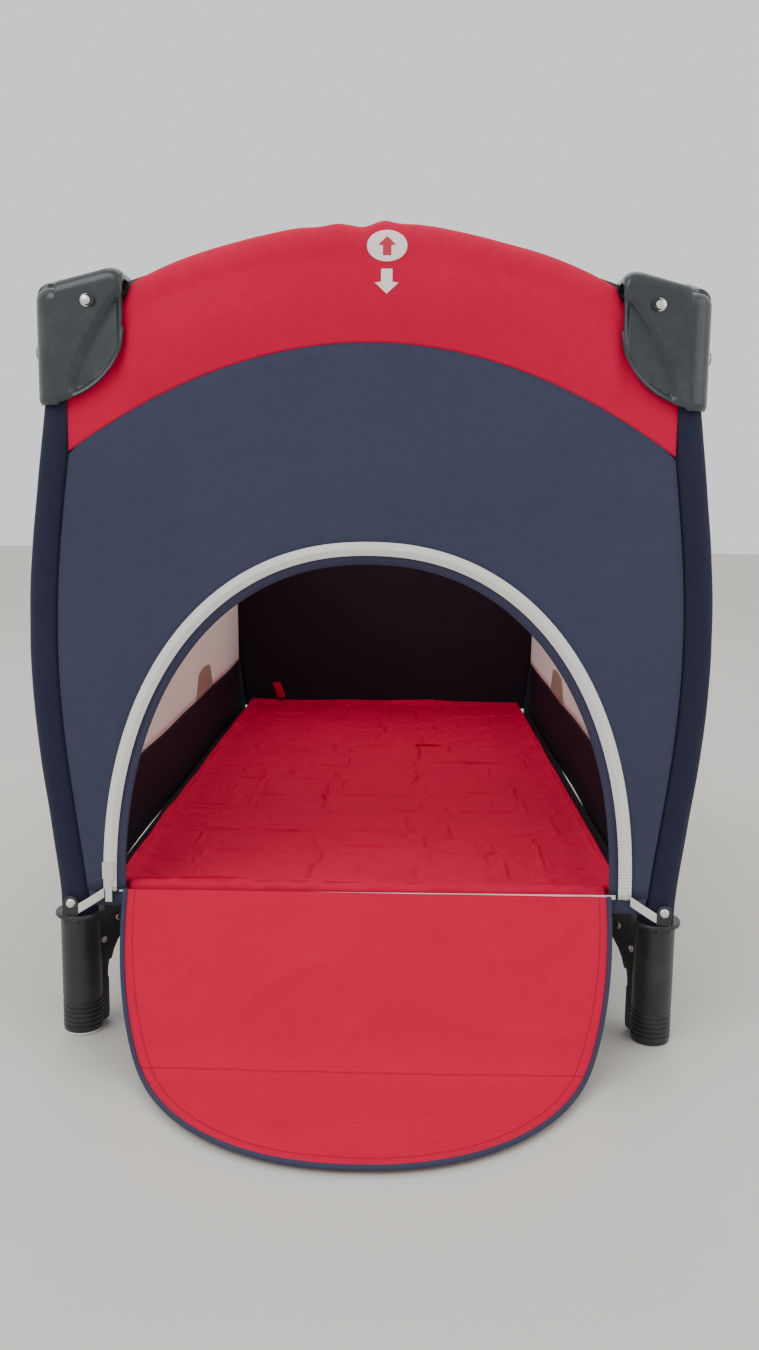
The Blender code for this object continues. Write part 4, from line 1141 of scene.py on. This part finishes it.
hem = cloth_grid("mattress_front_hem", 300, 24, sill_hem, red_cloth)
thicken(hem, CLOTH)
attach(hem, "mattress")
TAB_X, TAB_HALF, TAB_REACH = -0.212, 0.008, 0.030


def tab_shape(u, v):
    a = math.pi * v
    x = TAB_X + (2 * u - 1) * TAB_HALF - 0.010 * math.sin(a)
    return x, pad_back - 0.004 - 0.004 * math.cos(a), mattress_high.z - 0.006 + TAB_REACH * math.sin(a) ** 0.7


tab = cloth_grid("mattress_pull_tab", 6, 24, tab_shape, red_cloth)
thicken(tab, 0.0014)
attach(tab, "mattress")

# ---------------------------------------------------------------------------------------------
# Floor cloth. Navy polyester under the mattress, in four panels stitched over the base struts, drawn in the
# darker cloth as painted shade.

floor_low, floor_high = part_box("floor_cloth")


FLOOR_EDGE_X, FLOOR_EDGE_Y = side_x - 0.002, post_y + 0.0125


def floor_panel(sx, sy):
    def shape(u, v):
        x, y = FLOOR_EDGE_X * u, FLOOR_EDGE_Y * v
        past = min(x - (post_x - 0.045), y - (post_y - 0.030))
        if past > 0:
            x, y = x - past, y - past * 0.8
        up = max(0.0, (x - FLOOR_EDGE_X) / 0.015 + 1, (y - FLOOR_EDGE_Y) / 0.015 + 1)
        return sx * x, sy * y, (floor_low.z + floor_high.z) / 2 + 0.013 * up

    return shape


for x_name, sx in (("left", LEFT), ("right", RIGHT)):
    for y_name, sy in (("front", FRONT), ("back", BACK)):
        corner = y_name + "_" + x_name
        # Each panel takes the darker inside cloth, as painted shade.
        panel = cloth_grid("floor_panel_" + corner, 42, 84, floor_panel(sx, sy), shaded_inside_cloth)
        thicken(panel, 0.0010)
        if corner == "front_left":
            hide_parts("floor_cloth")
        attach(panel, "strut_" + corner)
        outward = Vector((sx * post_x, sy * post_y, 0)).normalized()
        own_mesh(panel)

# ---------------------------------------------------------------------------------------------
# Frame tubes, hub, hinges, lock buttons and the zip slider keep their own shapes and take the
# finish of the real ones: black painted steel, black nylon, red plastic and bright zinc.

for name, obj in frame["nodes"].items():
    if name.startswith(("post_", "base_strut", "end_rail", "side_rail")):
        finish_of = painted_steel
    elif name.startswith("lock_button"):
        finish_of = button_plastic
    elif name.startswith("zip_slider"):
        finish_of = bright
    else:
        finish_of = black_plastic
    for place in obj.material_slots:
        place.material = finish_of

# ---------------------------------------------------------------------------------------------
# Floor, light and camera.

bpy.ops.object.select_all(action="DESELECT")
bpy.ops.mesh.primitive_plane_add(size=24)
ground = bpy.context.active_object
ground.name = "studio_floor"
paper, tree, shader = new_material("pale_floor")
place = node(tree, "ShaderNodeTexCoord")
mist = node(tree, "ShaderNodeTexNoise", {"Vector": place.outputs["Object"]}, Scale=1.5, Detail=3.0)
pale = node(tree, "ShaderNodeMix", {"Factor": mist.outputs["Fac"]}, data_type="RGBA")
pale.inputs["A"].default_value = (0.62, 0.59, 0.56, 1)
pale.inputs["B"].default_value = (0.70, 0.67, 0.63, 1)
tree.links.new(pale.outputs["Result"], shader.inputs["Base Color"])
shader.inputs["Roughness"].default_value = 0.6
ground.data.materials.append(paper)

world = bpy.data.worlds.new("studio")
bpy.context.scene.world = world
world.use_nodes = True
world.node_tree.nodes["Background"].inputs["Color"].default_value = (0.86, 0.89, 0.87, 1)
world.node_tree.nodes["Background"].inputs["Strength"].default_value = 1.15
for name, spot, aim, size, power in (
    ("key", (-1.6, -2.6, 2.6), (0, 0, 0.4), 2.2, 46),
    ("fill", (2.4, -1.6, 1.6), (0, 0, 0.4), 2.2, 16),
    ("top", (0, 0.6, 3.0), (0, 0, 0.3), 2.4, 26),
):
    lamp = bpy.data.lights.new(name, "AREA")
    lamp.size = size
    lamp.energy = power
    light = bpy.data.objects.new(name, lamp)
    light.location = spot
    light.rotation_euler = (Vector(aim) - Vector(spot)).to_track_quat("-Z", "Y").to_euler()
    bpy.context.scene.collection.objects.link(light)

lens = bpy.data.cameras.new("camera")
lens.sensor_fit = "VERTICAL"
lens.sensor_height = 24
lens.lens = 20.75
camera = bpy.data.objects.new("camera", lens)
YAW, PITCH, ROLL = -0.018, 0.1485, 0.0112
ahead = Vector((math.sin(YAW) * math.cos(PITCH), math.cos(YAW) * math.cos(PITCH), -math.sin(PITCH)))
level = Vector((math.cos(YAW), -math.sin(YAW), 0))
upward = level.cross(ahead)
side_axis = level * math.cos(ROLL) + upward * math.sin(ROLL)
up_axis = upward * math.cos(ROLL) - level * math.sin(ROLL)
turn = Matrix((side_axis, up_axis, -ahead)).transposed().to_4x4()
camera.matrix_world = Matrix.Translation((0.0324, -1.7924, 0.5728)) @ turn
bpy.context.scene.collection.objects.link(camera)
bpy.context.scene.camera = camera
